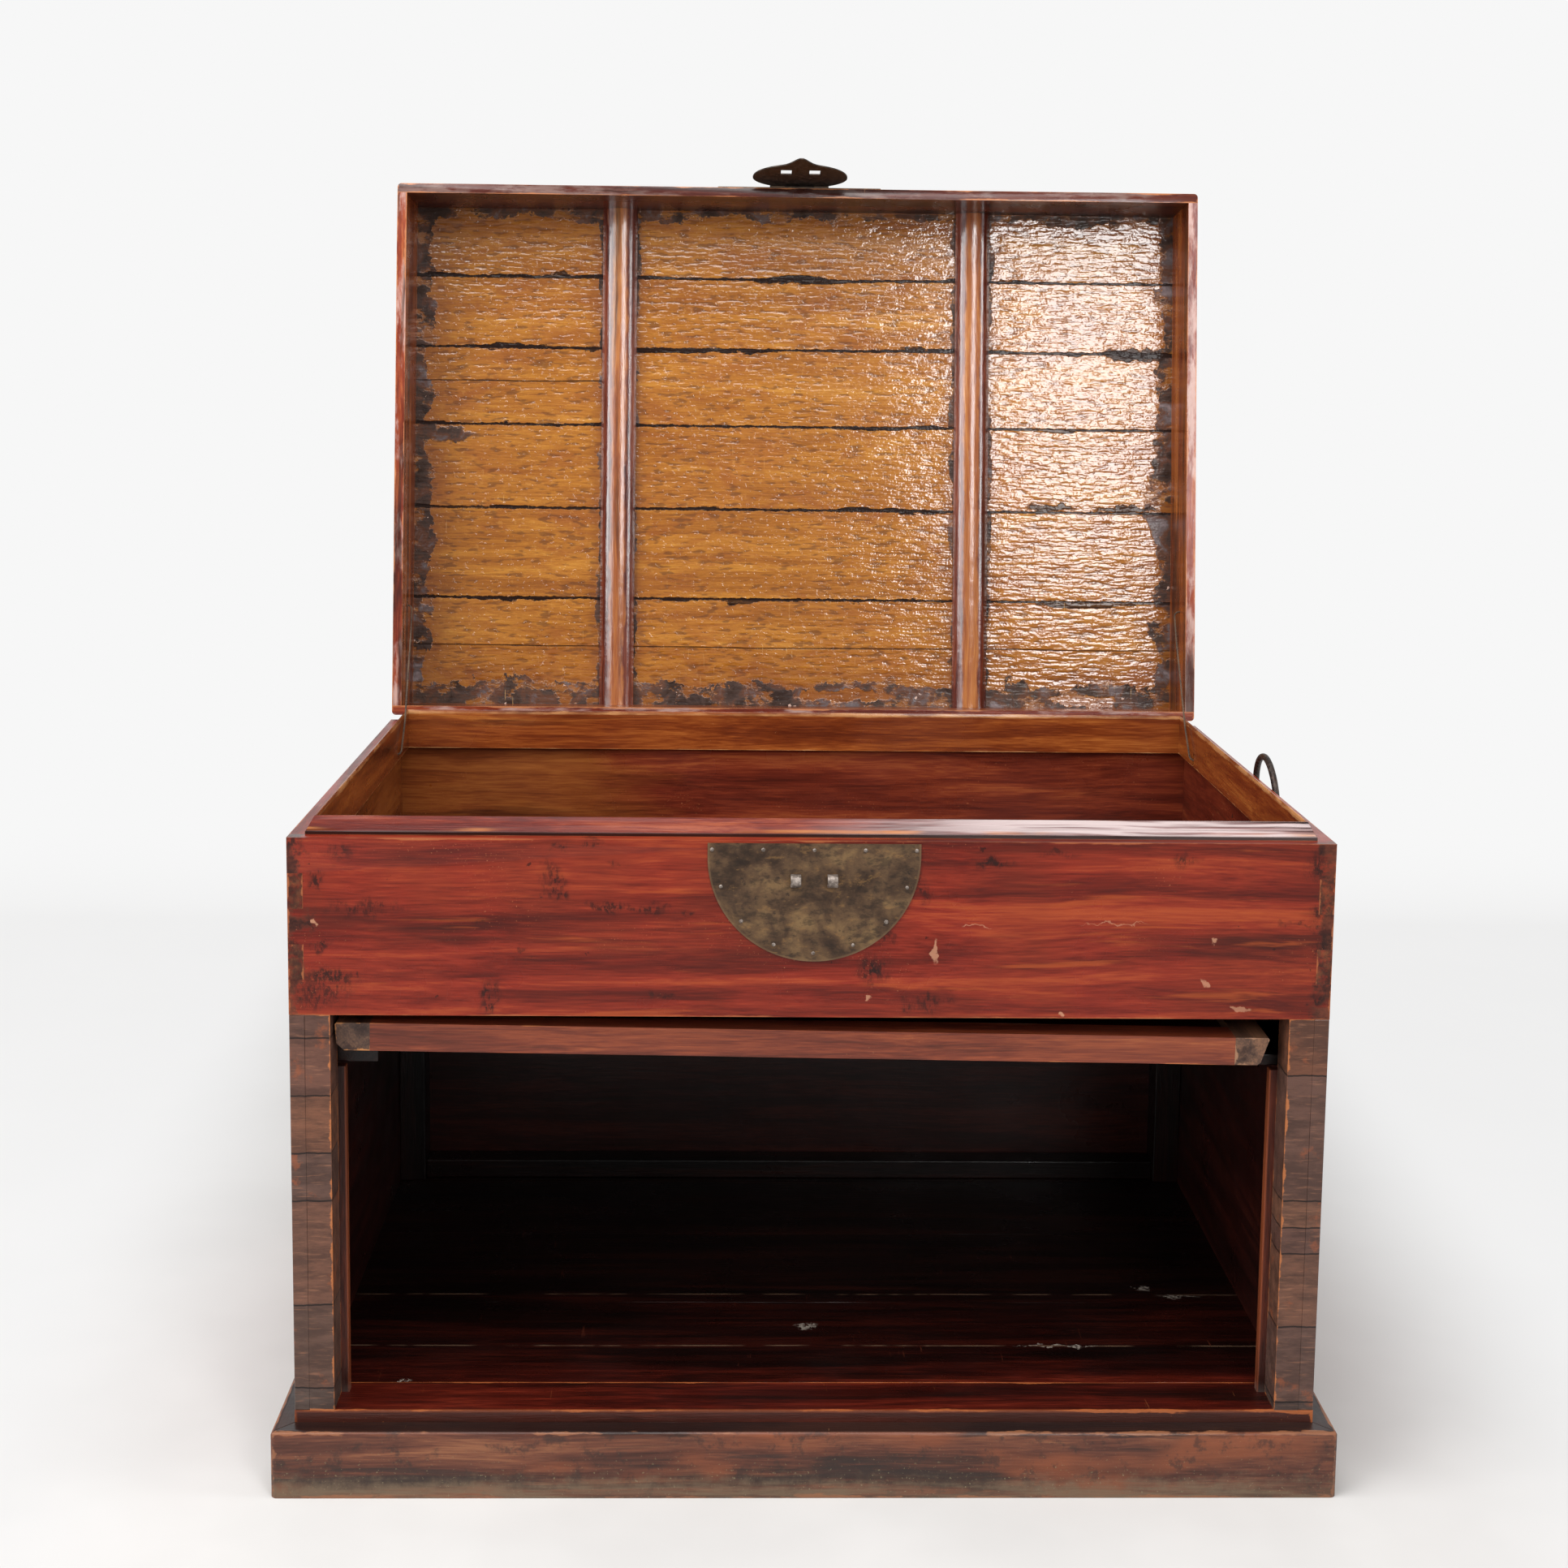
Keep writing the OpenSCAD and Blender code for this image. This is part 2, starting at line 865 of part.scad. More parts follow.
// A knuckle along X with its bore; x is its middle
module knuckle(x, length, r, bore) {
    translate([x - length / 2, 0, 0])
        rotate([0, 90, 0])
            difference() {
                cylinder(r = r, h = length);
                translate([0, 0, -1]) cylinder(r = bore, h = length + 2);
            }
}

module lid_plate() {
    foot = -plate_t - hasp_y;
    offset_x = (hasp_knuckle_l + plate_knuckle_l) / 2 + knuckle_gap;
    color(aged_brass)
        on_lid()
            difference() {
                union() {
                    translate([0, 0, lid_z + plate_gap]) mirror([0, 0, 1]) half_round_plate(0);
                    for (x = [-offset_x, offset_x])
                        translate([x, hasp_y, hasp_z]) {
                            rotate([0, 90, 0])
                                cylinder(r = hasp_knuckle_r, h = plate_knuckle_l, center = true);
                            translate([-plate_knuckle_l / 2, 0, -hasp_knuckle_r])
                                cube([plate_knuckle_l, foot, 2 * hasp_knuckle_r]);
                        }
                }
                translate([-carcass_w / 4, hasp_y, hasp_z])
                    rotate([0, 90, 0]) cylinder(r = hasp_pin_r + pin_fit, h = carcass_w / 2);
                at_lid_nails() nail_hole();
            }
}

module hasp_pin() {
    half = hasp_knuckle_l / 2 + knuckle_gap + plate_knuckle_l;
    color(dark_iron)
        on_lid()
            translate([0, hasp_y, hasp_z])
                rotate([0, 90, 0]) {
                    cylinder(r = hasp_pin_r, h = 2 * half, center = true);
                    for (z = [-half - pin_head_t, half])
                        translate([0, 0, z]) cylinder(r = hasp_pin_r + pin_head_step, h = pin_head_t);
                }
}

// The hasp's ogee outline; the pin is at 0 and the tip points down
function hasp_edge(a) =
    let (
        x = hasp_w / 2 * cos(a),
        peak = hasp_l * 0.21 * exp(-pow(x / (hasp_w * 0.1), 2)),
        far = (hasp_l * 0.79 - hasp_belly) * sin(a)
    )
    [x, a < 180 ? -hasp_belly - far - peak : min(-hasp_neck_r, -hasp_belly - hasp_belly * 1.1 * sin(a))];

module hasp_outline() {
    difference() {
        polygon([for (a = [0 : 4 : 356]) hasp_edge(a)]);
        for (x = [-staple_pitch / 2, staple_pitch / 2])
            translate([x - slot_w / 2, -hasp_slot_r - slot_h / 2]) square([slot_w, slot_h]);
    }
}

module hasp() {
    color(dark_iron)
        on_lid()
            translate([0, hasp_y, hasp_z])
                rotate([-hasp_lift, 0, 0])
                    difference() {
                        union() {
                            on_front(hasp_t / 2, hasp_t) {
                                hasp_outline();
                                translate([-hasp_knuckle_l / 2, -hasp_neck_r - 1])
                                    square([hasp_knuckle_l, hasp_neck_r + 1]);
                            }
                            rotate([0, 90, 0])
                                cylinder(r = hasp_knuckle_r, h = hasp_knuckle_l, center = true);
                        }
                        rotate([0, 90, 0])
                            cylinder(r = hasp_pin_r + pin_fit, h = 2 * hasp_knuckle_l, center = true);
                    }
}

// Side handles

module at_eyes() {
    for (side = [-1, 1], y = [-eye_y, eye_y])
        translate([side * carcass_w / 2, handle_y + y, handle_z])
            rotate([0, side * 90, 0]) children();
}

module handle_eyes() {
    color(dark_iron)
        chest()
            at_eyes() {
                translate([0, 0, -board_t]) cylinder(r = eye_wire_r, h = board_t + rose_t + eye_wire_r);
                translate([0, 0, eye_x - carcass_w / 2])
                    rotate([90, 0, 0])
                        rotate_extrude() translate([eye_r, 0]) circle(eye_wire_r);
            }
}

module handle_roses() {
    color(aged_brass)
        chest()
            at_eyes()
                difference() {
                    cylinder(r = rose_r, h = rose_t);
                    translate([0, 0, -1]) cylinder(r = eye_wire_r + nail_fit, h = rose_t + 2);
                }
}

// A bail standing on its eyes, in the plane of Y and Z
module bail() {
    r = bail_d / 2;
    translate([0, 0, bail_centre])
        rotate([90, 0, 90])
            rotate(bail_flare)
                rotate_extrude(angle = 180 - 2 * bail_flare)
                    translate([bail_r, 0]) circle(r - bail_joint / 2);
    for (side = [-1, 1]) {
        translate([0, side * bail_w / 2, 0]) {
            rotate([side * bail_flare, 0, 0]) cylinder(r = r, h = bail_leg + r / 2);
            sphere(r + bail_joint);
            rotate([-side * 90, 0, 0]) {
                cylinder(r = r, h = stub_l);
                translate([0, 0, stub_l]) cylinder(r = stub_head_r, h = stub_head_t);
            }
        }
    }
}

module bail_left() {
    color(dark_iron)
        chest() translate([-eye_x, handle_y, handle_z]) rotate([0, 180, 0]) bail();
}

module bail_right() {
    color(dark_iron)
        chest() translate([eye_x, handle_y, handle_z]) rotate([0, -bail_lean, 0]) bail();
}

// Rear hinges

module at_hinges() {
    for (x = [-hinge_x, hinge_x])
        translate([x, hinge_y, hinge_z]) children();
}

// A leaf with its knuckles; side -1 is the carcass's leaf below the pin
module hinge_leaf(side) {
    outer = (leaf_w - lid_knuckle_l) / 2 - knuckle_gap;
    spans = side < 0 ? [[-(leaf_w - outer) / 2, outer], [(leaf_w - outer) / 2, outer]] : [[0, lid_knuckle_l]];
    back = carcass_d - hinge_y;
    low = knuckle_r + knuckle_gap;
    translate([-leaf_w / 2, back, side < 0 ? -leaf_h : low]) cube([leaf_w, leaf_t, leaf_h - low]);
    for (s = spans)
        difference() {
            union() {
                translate([s[0] - s[1] / 2, back, side < 0 ? -low - 1 : 0]) cube([s[1], leaf_t, low + 1]);
                knuckle(s[0], s[1], knuckle_r, pin_r + pin_fit);
            }
            translate([s[0] - leaf_w, 0, 0])
                rotate([0, 90, 0]) cylinder(r = pin_r + pin_fit, h = 2 * leaf_w);
        }
}

module hinge_leaves_carcass() {
    color(dark_iron)
        chest()
            difference() {
                at_hinges() hinge_leaf(-1);
                at_leaf_nails(-1) nail_hole();
            }
}

module hinge_leaves_lid() {
    color(dark_iron)
        on_lid()
            difference() {
                at_hinges() hinge_leaf(1);
                at_leaf_nails(1) nail_hole();
            }
}

module hinge_pins() {
    color(dark_iron)
        chest()
            at_hinges()
                rotate([0, 90, 0]) {
                    cylinder(r = pin_r, h = leaf_w, center = true);
                    for (z = [-leaf_w / 2 - pin_head_t, leaf_w / 2])
                        translate([0, 0, z]) cylinder(r = pin_r + pin_head_step, h = pin_head_t);
                }
}

// Lid

module lid_block(height) {
    linear_extrude(height)
        translate([-carcass_w / 2, 0]) rounded_rect(carcass_w, carcass_d, lid_round);
}

module lid_cross_rail(y) {
    intersection() {
        translate([0, 0, lid_z]) lid_block(lid_rail_h);
        translate([-carcass_w / 2, y, lid_z]) cube([carcass_w, lid_rail_t, lid_rail_h]);
    }
}

module lid_rail_front() {
    color(lacquer)
        on_lid()
            difference() {
                lid_cross_rail(0);
                at_lid_nails() nail_hole();
            }
}

module lid_rail_rear() {
    color(lacquer)
        on_lid()
            difference() {
                lid_cross_rail(carcass_d - lid_rail_t);
                at_leaf_nails(1) nail_hole();
            }
}

module lid_side_rail(side) {
    color(lacquer)
        difference() {
            on_lid()
                translate([side > 0 ? carcass_w / 2 - lid_rail_t : -carcass_w / 2, lid_rail_t, lid_z])
                    cube([lid_rail_t, carcass_d - 2 * lid_rail_t, lid_rail_h]);
            chest()
                translate([side * (carcass_w / 2 - lid_rail_t), stay_top_y, stay_top_z])
                    rotate([0, 90, 0])
                        cylinder(r = stay_hole_r, h = 2 * stay_hole_depth, center = true);
        }
}

module lid_rail_left() {
    lid_side_rail(-1);
}

module lid_rail_right() {
    lid_side_rail(1);
}

// One plank of the lid's top; plank 0 lies along the hinges
module lid_plank(i) {
    total = sum(lid_plank_shares, len(lid_plank_shares));
    a = carcass_d * (1 - sum(lid_plank_shares, i) / total);
    b = carcass_d * (1 - sum(lid_plank_shares, i + 1) / total);
    color(golden_brown)
        on_lid()
            intersection() {
                translate([0, 0, lid_z + lid_rail_h]) lid_block(lid_plank_t);
                translate([-carcass_w / 2, b, lid_z + lid_rail_h]) cube([carcass_w, a - b, lid_plank_t]);
            }
}

module lid_plank_1() {
    lid_plank(0);
}

module lid_plank_2() {
    lid_plank(1);
}

module lid_plank_3() {
    lid_plank(2);
}

module lid_plank_4() {
    lid_plank(3);
}

module lid_plank_5() {
    lid_plank(4);
}

module lid_plank_6() {
    lid_plank(5);
}

// A batten's section hangs below the planks, with a broad slope on each side of a flat
module batten_section() {
    half = batten_w / 2;
    flat = batten_flat / 2;
    polygon([
        [-half, 0], [-half, -batten_side], [-flat, -batten_t],
        [flat, -batten_t], [half, -batten_side], [half, 0]
    ]);
}

module lid_battens() {
    color(dark_lacquer)
        on_lid()
            for (x = [-batten_x, batten_x])
                translate([x, carcass_d - lid_rail_t, lid_z + lid_rail_h])
                    rotate([90, 0, 0])
                        linear_extrude(carcass_d - 2 * lid_rail_t) batten_section();
}

// Lid stays

module stay_slots() {
    for (side = [-1, 1])
        translate([side * inner_x, stay_foot_y, stay_foot_z])
            cube([3 * lip_t, stay_slot_w, stay_slot_h], center = true);
}

module stay_foot_holes() {
    for (side = [-1, 1])
        translate([side * inner_x, stay_foot_y, stay_foot_z])
            rotate([0, 90, 0]) cylinder(r = stay_hole_r, h = 2 * stay_hole_depth, center = true);
}

function unit(v) = v / norm(v);

// The route with its long stretches divided, so that rings follow each other closely
function stay_path(route) = [
    for (i = [0 : len(route) - 2])
        let (n = ceil(norm(route[i + 1] - route[i]) / stay_ring))
            for (k = [0 : n - 1]) route[i] + (route[i + 1] - route[i]) * k / n,
    route[len(route) - 1]
];

// One ring of the tube round point i; the side axis lies across every stretch
function stay_ring_points(path, i) =
    let (
        last = len(path) - 1,
        along = unit(path[min(i + 1, last)] - path[max(i - 1, 0)]),
        across = [0, 0.65, -0.76],
        u = unit(across - (across * along) * along),
        v = cross(along, u)
    )
    [for (k = [0 : stay_sides - 1])
        path[i] + stay_r * (cos(360 * k / stay_sides) * u + sin(360 * k / stay_sides) * v)];

module stay() {
    path = stay_path(stay_route);
    n = stay_sides;
    last = (len(path) - 1) * n;
    points = [for (i = [0 : len(path) - 1]) each stay_ring_points(path, i)];
    walls = [for (i = [0 : len(path) - 2], k = [0 : n - 1])
        let (a = i * n + k, b = i * n + (k + 1) % n)
            each [[a, b, a + n], [b, b + n, a + n]]];
    caps = [for (k = [1 : n - 2])
        each [[0, k + 1, k], [last, last + k, last + k + 1]]];
    polyhedron(points = points, faces = concat(walls, caps));
}

module stay_left() {
    color(stay_brown) chest() translate([-inner_x, hinge_y, hinge_z]) stay();
}

module stay_right() {
    color(stay_brown) chest() mirror([1, 0, 0]) translate([-inner_x, hinge_y, hinge_z]) stay();
}

plinth_front();
plinth_back();
plinth_left();
plinth_right();
floor_bearers();
sill_front();
sill_back();
floor_planks();
front_post_left();
front_post_right();
rear_posts();
back_foot_rail();
lower_side_left();
lower_side_right();
lower_back();
upper_front();
upper_back();
upper_left();
upper_right();
deck_bearers();
deck_planks();
lip_front();
lip_back();
lip_left();
lip_right();
stop_strips();
runner_left();
runner_right();
panel_stile_left();
panel_stile_right();
panel_rail_front();
panel_rail_rear();
panel_planks();
lock_plate();
staples();
carcass_nails();
handle_eyes();
handle_roses();
bail_left();
bail_right();
hinge_leaves_carcass();
hinge_leaves_lid();
hinge_pins();
lid_rail_front();
lid_rail_rear();
lid_rail_left();
lid_rail_right();
lid_plank_1();
lid_plank_2();
lid_plank_3();
lid_plank_4();
lid_plank_5();
lid_plank_6();
lid_battens();
lid_plate();
lid_nails();
hasp_pin();
hasp();
stay_left();
stay_right();
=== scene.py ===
import json
import math
import bpy
import bmesh
from mathutils import Matrix, Vector, noise

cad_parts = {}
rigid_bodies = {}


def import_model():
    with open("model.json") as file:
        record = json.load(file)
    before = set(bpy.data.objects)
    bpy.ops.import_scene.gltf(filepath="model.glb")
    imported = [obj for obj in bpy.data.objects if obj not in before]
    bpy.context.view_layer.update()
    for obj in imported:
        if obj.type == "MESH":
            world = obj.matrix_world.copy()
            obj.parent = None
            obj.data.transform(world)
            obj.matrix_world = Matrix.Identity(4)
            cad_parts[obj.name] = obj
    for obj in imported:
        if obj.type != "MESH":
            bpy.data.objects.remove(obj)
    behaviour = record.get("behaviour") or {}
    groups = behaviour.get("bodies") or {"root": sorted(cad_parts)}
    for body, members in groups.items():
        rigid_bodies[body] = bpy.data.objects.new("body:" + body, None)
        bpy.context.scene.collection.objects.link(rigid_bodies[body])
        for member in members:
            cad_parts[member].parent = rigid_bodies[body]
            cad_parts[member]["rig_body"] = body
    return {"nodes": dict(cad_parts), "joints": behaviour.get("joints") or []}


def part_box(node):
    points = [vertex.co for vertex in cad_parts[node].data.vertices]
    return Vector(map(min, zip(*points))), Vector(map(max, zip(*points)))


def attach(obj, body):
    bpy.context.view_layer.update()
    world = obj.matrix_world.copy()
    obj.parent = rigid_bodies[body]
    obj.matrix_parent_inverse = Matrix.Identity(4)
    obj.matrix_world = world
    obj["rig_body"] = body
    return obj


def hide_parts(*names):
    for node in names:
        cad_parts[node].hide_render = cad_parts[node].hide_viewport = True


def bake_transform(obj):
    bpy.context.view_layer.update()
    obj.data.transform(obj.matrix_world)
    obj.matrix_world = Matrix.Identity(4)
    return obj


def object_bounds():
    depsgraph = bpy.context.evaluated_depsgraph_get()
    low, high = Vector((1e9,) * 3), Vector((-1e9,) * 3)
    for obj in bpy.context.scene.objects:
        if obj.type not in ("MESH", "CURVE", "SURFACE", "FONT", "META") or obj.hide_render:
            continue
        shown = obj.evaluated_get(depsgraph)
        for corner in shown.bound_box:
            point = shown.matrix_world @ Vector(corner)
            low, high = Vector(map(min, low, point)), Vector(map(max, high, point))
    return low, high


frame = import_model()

cad_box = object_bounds()

# Camera
# The view of the photograph: from the front, a little left of the middle, looking down by seven degrees.
lens = bpy.data.cameras.new("camera")
lens.lens = 51.403
lens.sensor_width = 36
lens.shift_y = -0.109
yaw, pitch, roll = 0.02512, 0.12161, 0.01217
ahead = Vector((math.sin(yaw) * math.cos(pitch), math.cos(yaw) * math.cos(pitch), -math.sin(pitch)))
level = Vector((math.cos(yaw), -math.sin(yaw), 0))
over = level.cross(ahead)
right = math.cos(roll) * level + math.sin(roll) * over
up = math.cos(roll) * over - math.sin(roll) * level
camera = bpy.data.objects.new("camera", lens)
camera.matrix_world = Matrix((right, up, -ahead)).transposed().to_4x4()
camera.location = (-0.1019, -3.0321, 1.3591)
bpy.context.scene.collection.objects.link(camera)
bpy.context.scene.camera = camera

# Stays
# Two cords hold the open lid. Each is a brown cord of two strands, knotted through a hole in the lid's
# side rail and through a slot in the lip, and it lies along the route of the CAD tube.
inner_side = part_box("upper_right")[0].x
hinge = next(joint for joint in frame["joints"] if joint["name"] == "lid_hinge")
hinge_line = Vector(hinge["pos_m"])
lid_lean = math.radians(hinge["range_deg"][1])
stay_route = [
    (-12, 69, 164), (-4, 69, 164), (0, 68.2, 163.3), (3, 66, 161.3), (4.5, 63, 158.6),
    (8, 23.5, 122.3), (10.5, -16, 86.2), (13, -55.5, 50), (15.5, -95, 13.8), (16, -136, -23),
    (15, -139, -25.7), (12, -141.2, -27.6), (8, -142, -28.4), (-8, -142, -28.4),
]


def group_socket(tree, name, kind, default=None, output=False):
    socket = tree.interface.new_socket(name, in_out="OUTPUT" if output else "INPUT", socket_type=kind)
    if default is not None:
        socket.default_value = default
    return socket.identifier


class Knots:
    """Short ways to add and join nodes in one tree."""

    def __init__(self, tree):
        self.tree = tree

    def set(self, node, at, value):
        if value is None:
            return
        if isinstance(value, bpy.types.NodeSocket):
            self.tree.links.new(value, node.inputs[at])
        else:
            node.inputs[at].default_value = value

    def add(self, kind, inputs=(), out=0, **settings):
        node = self.tree.nodes.new(kind)
        for key, value in settings.items():
            setattr(node, key, value)
        for at, value in dict(inputs).items():
            self.set(node, at, value)
        return node.outputs[out]

    def math(self, operation, a, b=None):
        return self.add("ShaderNodeMath", {0: a, 1: b}, operation=operation)

    def plus(self, a, b):
        return self.math("ADD", a, b)

    def less(self, a, b):
        return self.math("SUBTRACT", a, b)

    def times(self, a, b):
        return self.math("MULTIPLY", a, b)

    def least(self, a, b):
        return self.math("MINIMUM", a, b)

    def size(self, a):
        return self.math("ABSOLUTE", a)

    def vector(self, operation, a, b=None, scale=None, out=0):
        inputs = {0: a, 1: b, "Scale": scale}
        return self.add("ShaderNodeVectorMath", inputs, out=out, operation=operation)


def evaluated_copy(piece, name):
    graph = bpy.context.evaluated_depsgraph_get()
    mesh = bpy.data.meshes.new_from_object(piece.evaluated_get(graph), depsgraph=graph)
    mesh.name = name
    made = bpy.data.objects.new(name, mesh)
    bpy.context.scene.collection.objects.link(made)
    bpy.data.objects.remove(piece)
    return made


def cord_tree(material):
    """Two strands wound round each other along a route."""
    tree = bpy.data.node_groups.new("twisted cord", "GeometryNodeTree")
    k = Knots(tree)
    group_socket(tree, "Route", "NodeSocketGeometry")
    ids = {
        "strand": group_socket(tree, "Strand radius", "NodeSocketFloat", 0.0008),
        "spread": group_socket(tree, "Strand offset", "NodeSocketFloat", 0.0007),
        "turns": group_socket(tree, "Turns", "NodeSocketFloat", 30.0),
    }
    group_socket(tree, "Cord", "NodeSocketGeometry", output=True)
    given = tree.nodes.new("NodeGroupInput").outputs
    resampled = k.add("GeometryNodeResampleCurve", {"Curve": given["Route"], "Count": 360})
    along = k.add("GeometryNodeSplineParameter", out="Factor")
    angle = k.times(k.times(along, given["Turns"]), math.tau)
    joined = tree.nodes.new("GeometryNodeJoinGeometry")
    for start in (0.0, math.pi):
        turned = k.plus(angle, start)
        normal = k.add("GeometryNodeInputNormal")
        tangent = k.add("GeometryNodeInputTangent")
        away = k.add("ShaderNodeVectorRotate", {"Vector": normal, "Axis": tangent, "Angle": turned})
        offset = k.vector("SCALE", away, scale=given["Strand offset"])
        moved = k.add("GeometryNodeSetPosition", {"Geometry": resampled, "Offset": offset})
        ring = {"Resolution": 8, "Radius": given["Strand radius"]}
        circle = k.add("GeometryNodeCurvePrimitiveCircle", ring)
        swept = {"Curve": moved, "Profile Curve": circle, "Fill Caps": True}
        strand = k.add("GeometryNodeCurveToMesh", swept)
        tree.links.new(strand, joined.inputs[0])
    real = k.add("GeometryNodeRealizeInstances", {"Geometry": joined.outputs[0]})
    smooth = k.add("GeometryNodeSetShadeSmooth", {"Geometry": real})
    painted = k.add("GeometryNodeSetMaterial", {"Geometry": smooth, "Material": material})
    out = tree.nodes.new("NodeGroupOutput")
    tree.links.new(painted, out.inputs["Cord"])
    return tree, ids


def colour(text):
    """A colour written as in a paint chart, made linear for the shader."""
    values = [int(text[i:i + 2], 16) / 255 for i in (1, 3, 5)]
    return tuple(v / 12.92 if v < 0.04045 else ((v + 0.055) / 1.055) ** 2.4 for v in values) + (1,)


class Finish(Knots):
    """One material: its tree, its coordinates and its shader."""

    def __init__(self, name):
        self.material = bpy.data.materials.new(name)
        self.material.use_nodes = True
        super().__init__(self.material.node_tree)
        self.shader = self.tree.nodes["Principled BSDF"]
        self.place = self.add("ShaderNodeTexCoord", out="Object")

    def mix(self, amount, a, b):
        a, b = (colour(t) if isinstance(t, str) else t for t in (a, b))
        inputs = {0: amount, 6: a, 7: b}
        return self.add("ShaderNodeMix", inputs, out=2, data_type="RGBA", clamp_factor=True)

    def noise(self, at, scale, detail=4.0, rough=0.55, twist=0.0):
        inputs = {"Vector": at, "Scale": scale, "Detail": detail, "Roughness": rough, "Distortion": twist}
        return self.add("ShaderNodeTexNoise", inputs)

    def stretched(self, at, by):
        return self.vector("MULTIPLY", at, by)

    def band(self, value, low, high, to_low=0.0, to_high=1.0):
        inputs = {0: value, 1: low, 2: high, 3: to_low, 4: to_high}
        return self.add("ShaderNodeMapRange", inputs, interpolation_type="SMOOTHSTEP")

    def ramp(self, value, stops, steps=False):
        node = self.tree.nodes.new("ShaderNodeValToRGB")
        if steps:
            node.color_ramp.interpolation = "CONSTANT"
        while len(node.color_ramp.elements) < len(stops):
            node.color_ramp.elements.new(0.5)
        for element, (at, tint) in zip(node.color_ramp.elements, stops):
            element.position = at
            element.color = colour(tint)
        self.set(node, 0, value)
        return node.outputs[0]

    def bump(self, height, depth):
        return self.add("ShaderNodeBump", {"Height": height, "Distance": depth})

    def done(self, tint, rough, normal=None, coat=0.0, coat_rough=0.1, metal=0.0, specular=0.5, coat_ior=1.5):
        shader = self.shader
        self.set(shader, "Base Color", tint)
        self.set(shader, "Roughness", rough)
        self.set(shader, "Metallic", metal)
        self.set(shader, "Normal", normal)
        if coat != 0:
            self.set(shader, "Coat Normal", normal)
        self.set(shader, "Coat Weight", coat)
        shader.inputs["Coat Roughness"].default_value = coat_rough
        shader.inputs["Coat IOR"].default_value = coat_ior
        shader.inputs["Specular IOR Level"].default_value = specular
        return self.material


def cord_finish():
    f = Finish("stay cord")
    fibre = f.noise(f.place, 900, 3)
    soil = f.noise(f.place, 60, 3)
    tint = f.mix(f.band(soil, 0.4, 0.65), "#54402f", "#2c211b")
    tint = f.mix(f.band(fibre, 0.35, 0.7, 0, 0.4), tint, "#7a624e")
    return f.done(tint, 0.75, f.bump(fibre, 0.0002))


twist, twist_ids = cord_tree(cord_finish())
for side, label in ((-1, "left"), (1, "right")):
    points = [
        hinge_line + Vector((side * (inner_side - x / 1000), y / 1000, z / 1000)) for x, y, z in stay_route
    ]
    line = bpy.data.curves.new("stay line", "CURVE")
    line.dimensions = "3D"
    spline = line.splines.new("POLY")
    spline.points.add(len(points) - 1)
    for point, at in zip(spline.points, points):
        point.co = (*at, 1)
    route = bpy.data.objects.new("stay line", line)
    bpy.context.scene.collection.objects.link(route)
    wound = route.modifiers.new("twist", "NODES")
    wound.node_group = twist
    wound[twist_ids["strand"]] = 0.00078
    wound[twist_ids["spread"]] = 0.00070
    wound[twist_ids["turns"]] = 34.0
    stay = evaluated_copy(route, "stay_cord_" + label)
    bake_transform(stay)
    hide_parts("stay_" + label)

# Plinth
# Four thick rails, mitred at the corners and stained dark brown. The front face is scuffed and has lost
# its stain in patches, and dust and wear have left a grey fringe along its foot.


def worn_copy(name, sway=0.0, step=0.05):
    """A merged copy of a CAD node, whose long edges wander a little, as edges planed by hand do."""
    mesh = frame["nodes"][name].data.copy()
    mesh.materials.clear()
    bm = bmesh.new()
    bm.from_mesh(mesh)
    bmesh.ops.remove_doubles(bm, verts=bm.verts, dist=1e-5)
    bmesh.ops.dissolve_limit(bm, angle_limit=math.radians(1), verts=bm.verts, edges=bm.edges)
    if sway:
        for edge in [e for e in bm.edges if e.calc_length() > 2 * step]:
            cuts = min(40, int(edge.calc_length() / step))
            bmesh.ops.subdivide_edges(bm, edges=[edge], cuts=cuts)
        for v in bm.verts:
            v.co += Vector(noise.noise_vector(v.co * 9)) * sway
        wide = [face for face in bm.faces if len(face.verts) > 4]
        bmesh.ops.triangulate(bm, faces=wide, ngon_method="EAR_CLIP")
    bm.to_mesh(mesh)
    bm.free()
    made = bpy.data.objects.new(name + "_worn", mesh)
    bpy.context.scene.collection.objects.link(made)
    return made


def settle(piece, name, finish):
    """Puts a worn copy in the place of its CAD node."""
    piece.data.materials.append(finish)
    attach(piece, frame["nodes"][name]["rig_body"])
    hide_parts(name)


def dress(name, finish, arris=0.0015, sway=0.0, reshape=None):
    """Replaces a CAD node by a worn copy of itself with softened arrises."""
    piece = worn_copy(name, sway)
    if reshape:
        for v in piece.data.vertices:
            v.co = reshape(v.co)
    bevel = piece.modifiers.new("worn arris", "BEVEL")
    bevel.width = arris
    bevel.segments = 2
    bevel.limit_method = "ANGLE"
    bevel.angle_limit = math.radians(35)
    settle(piece, name, finish)


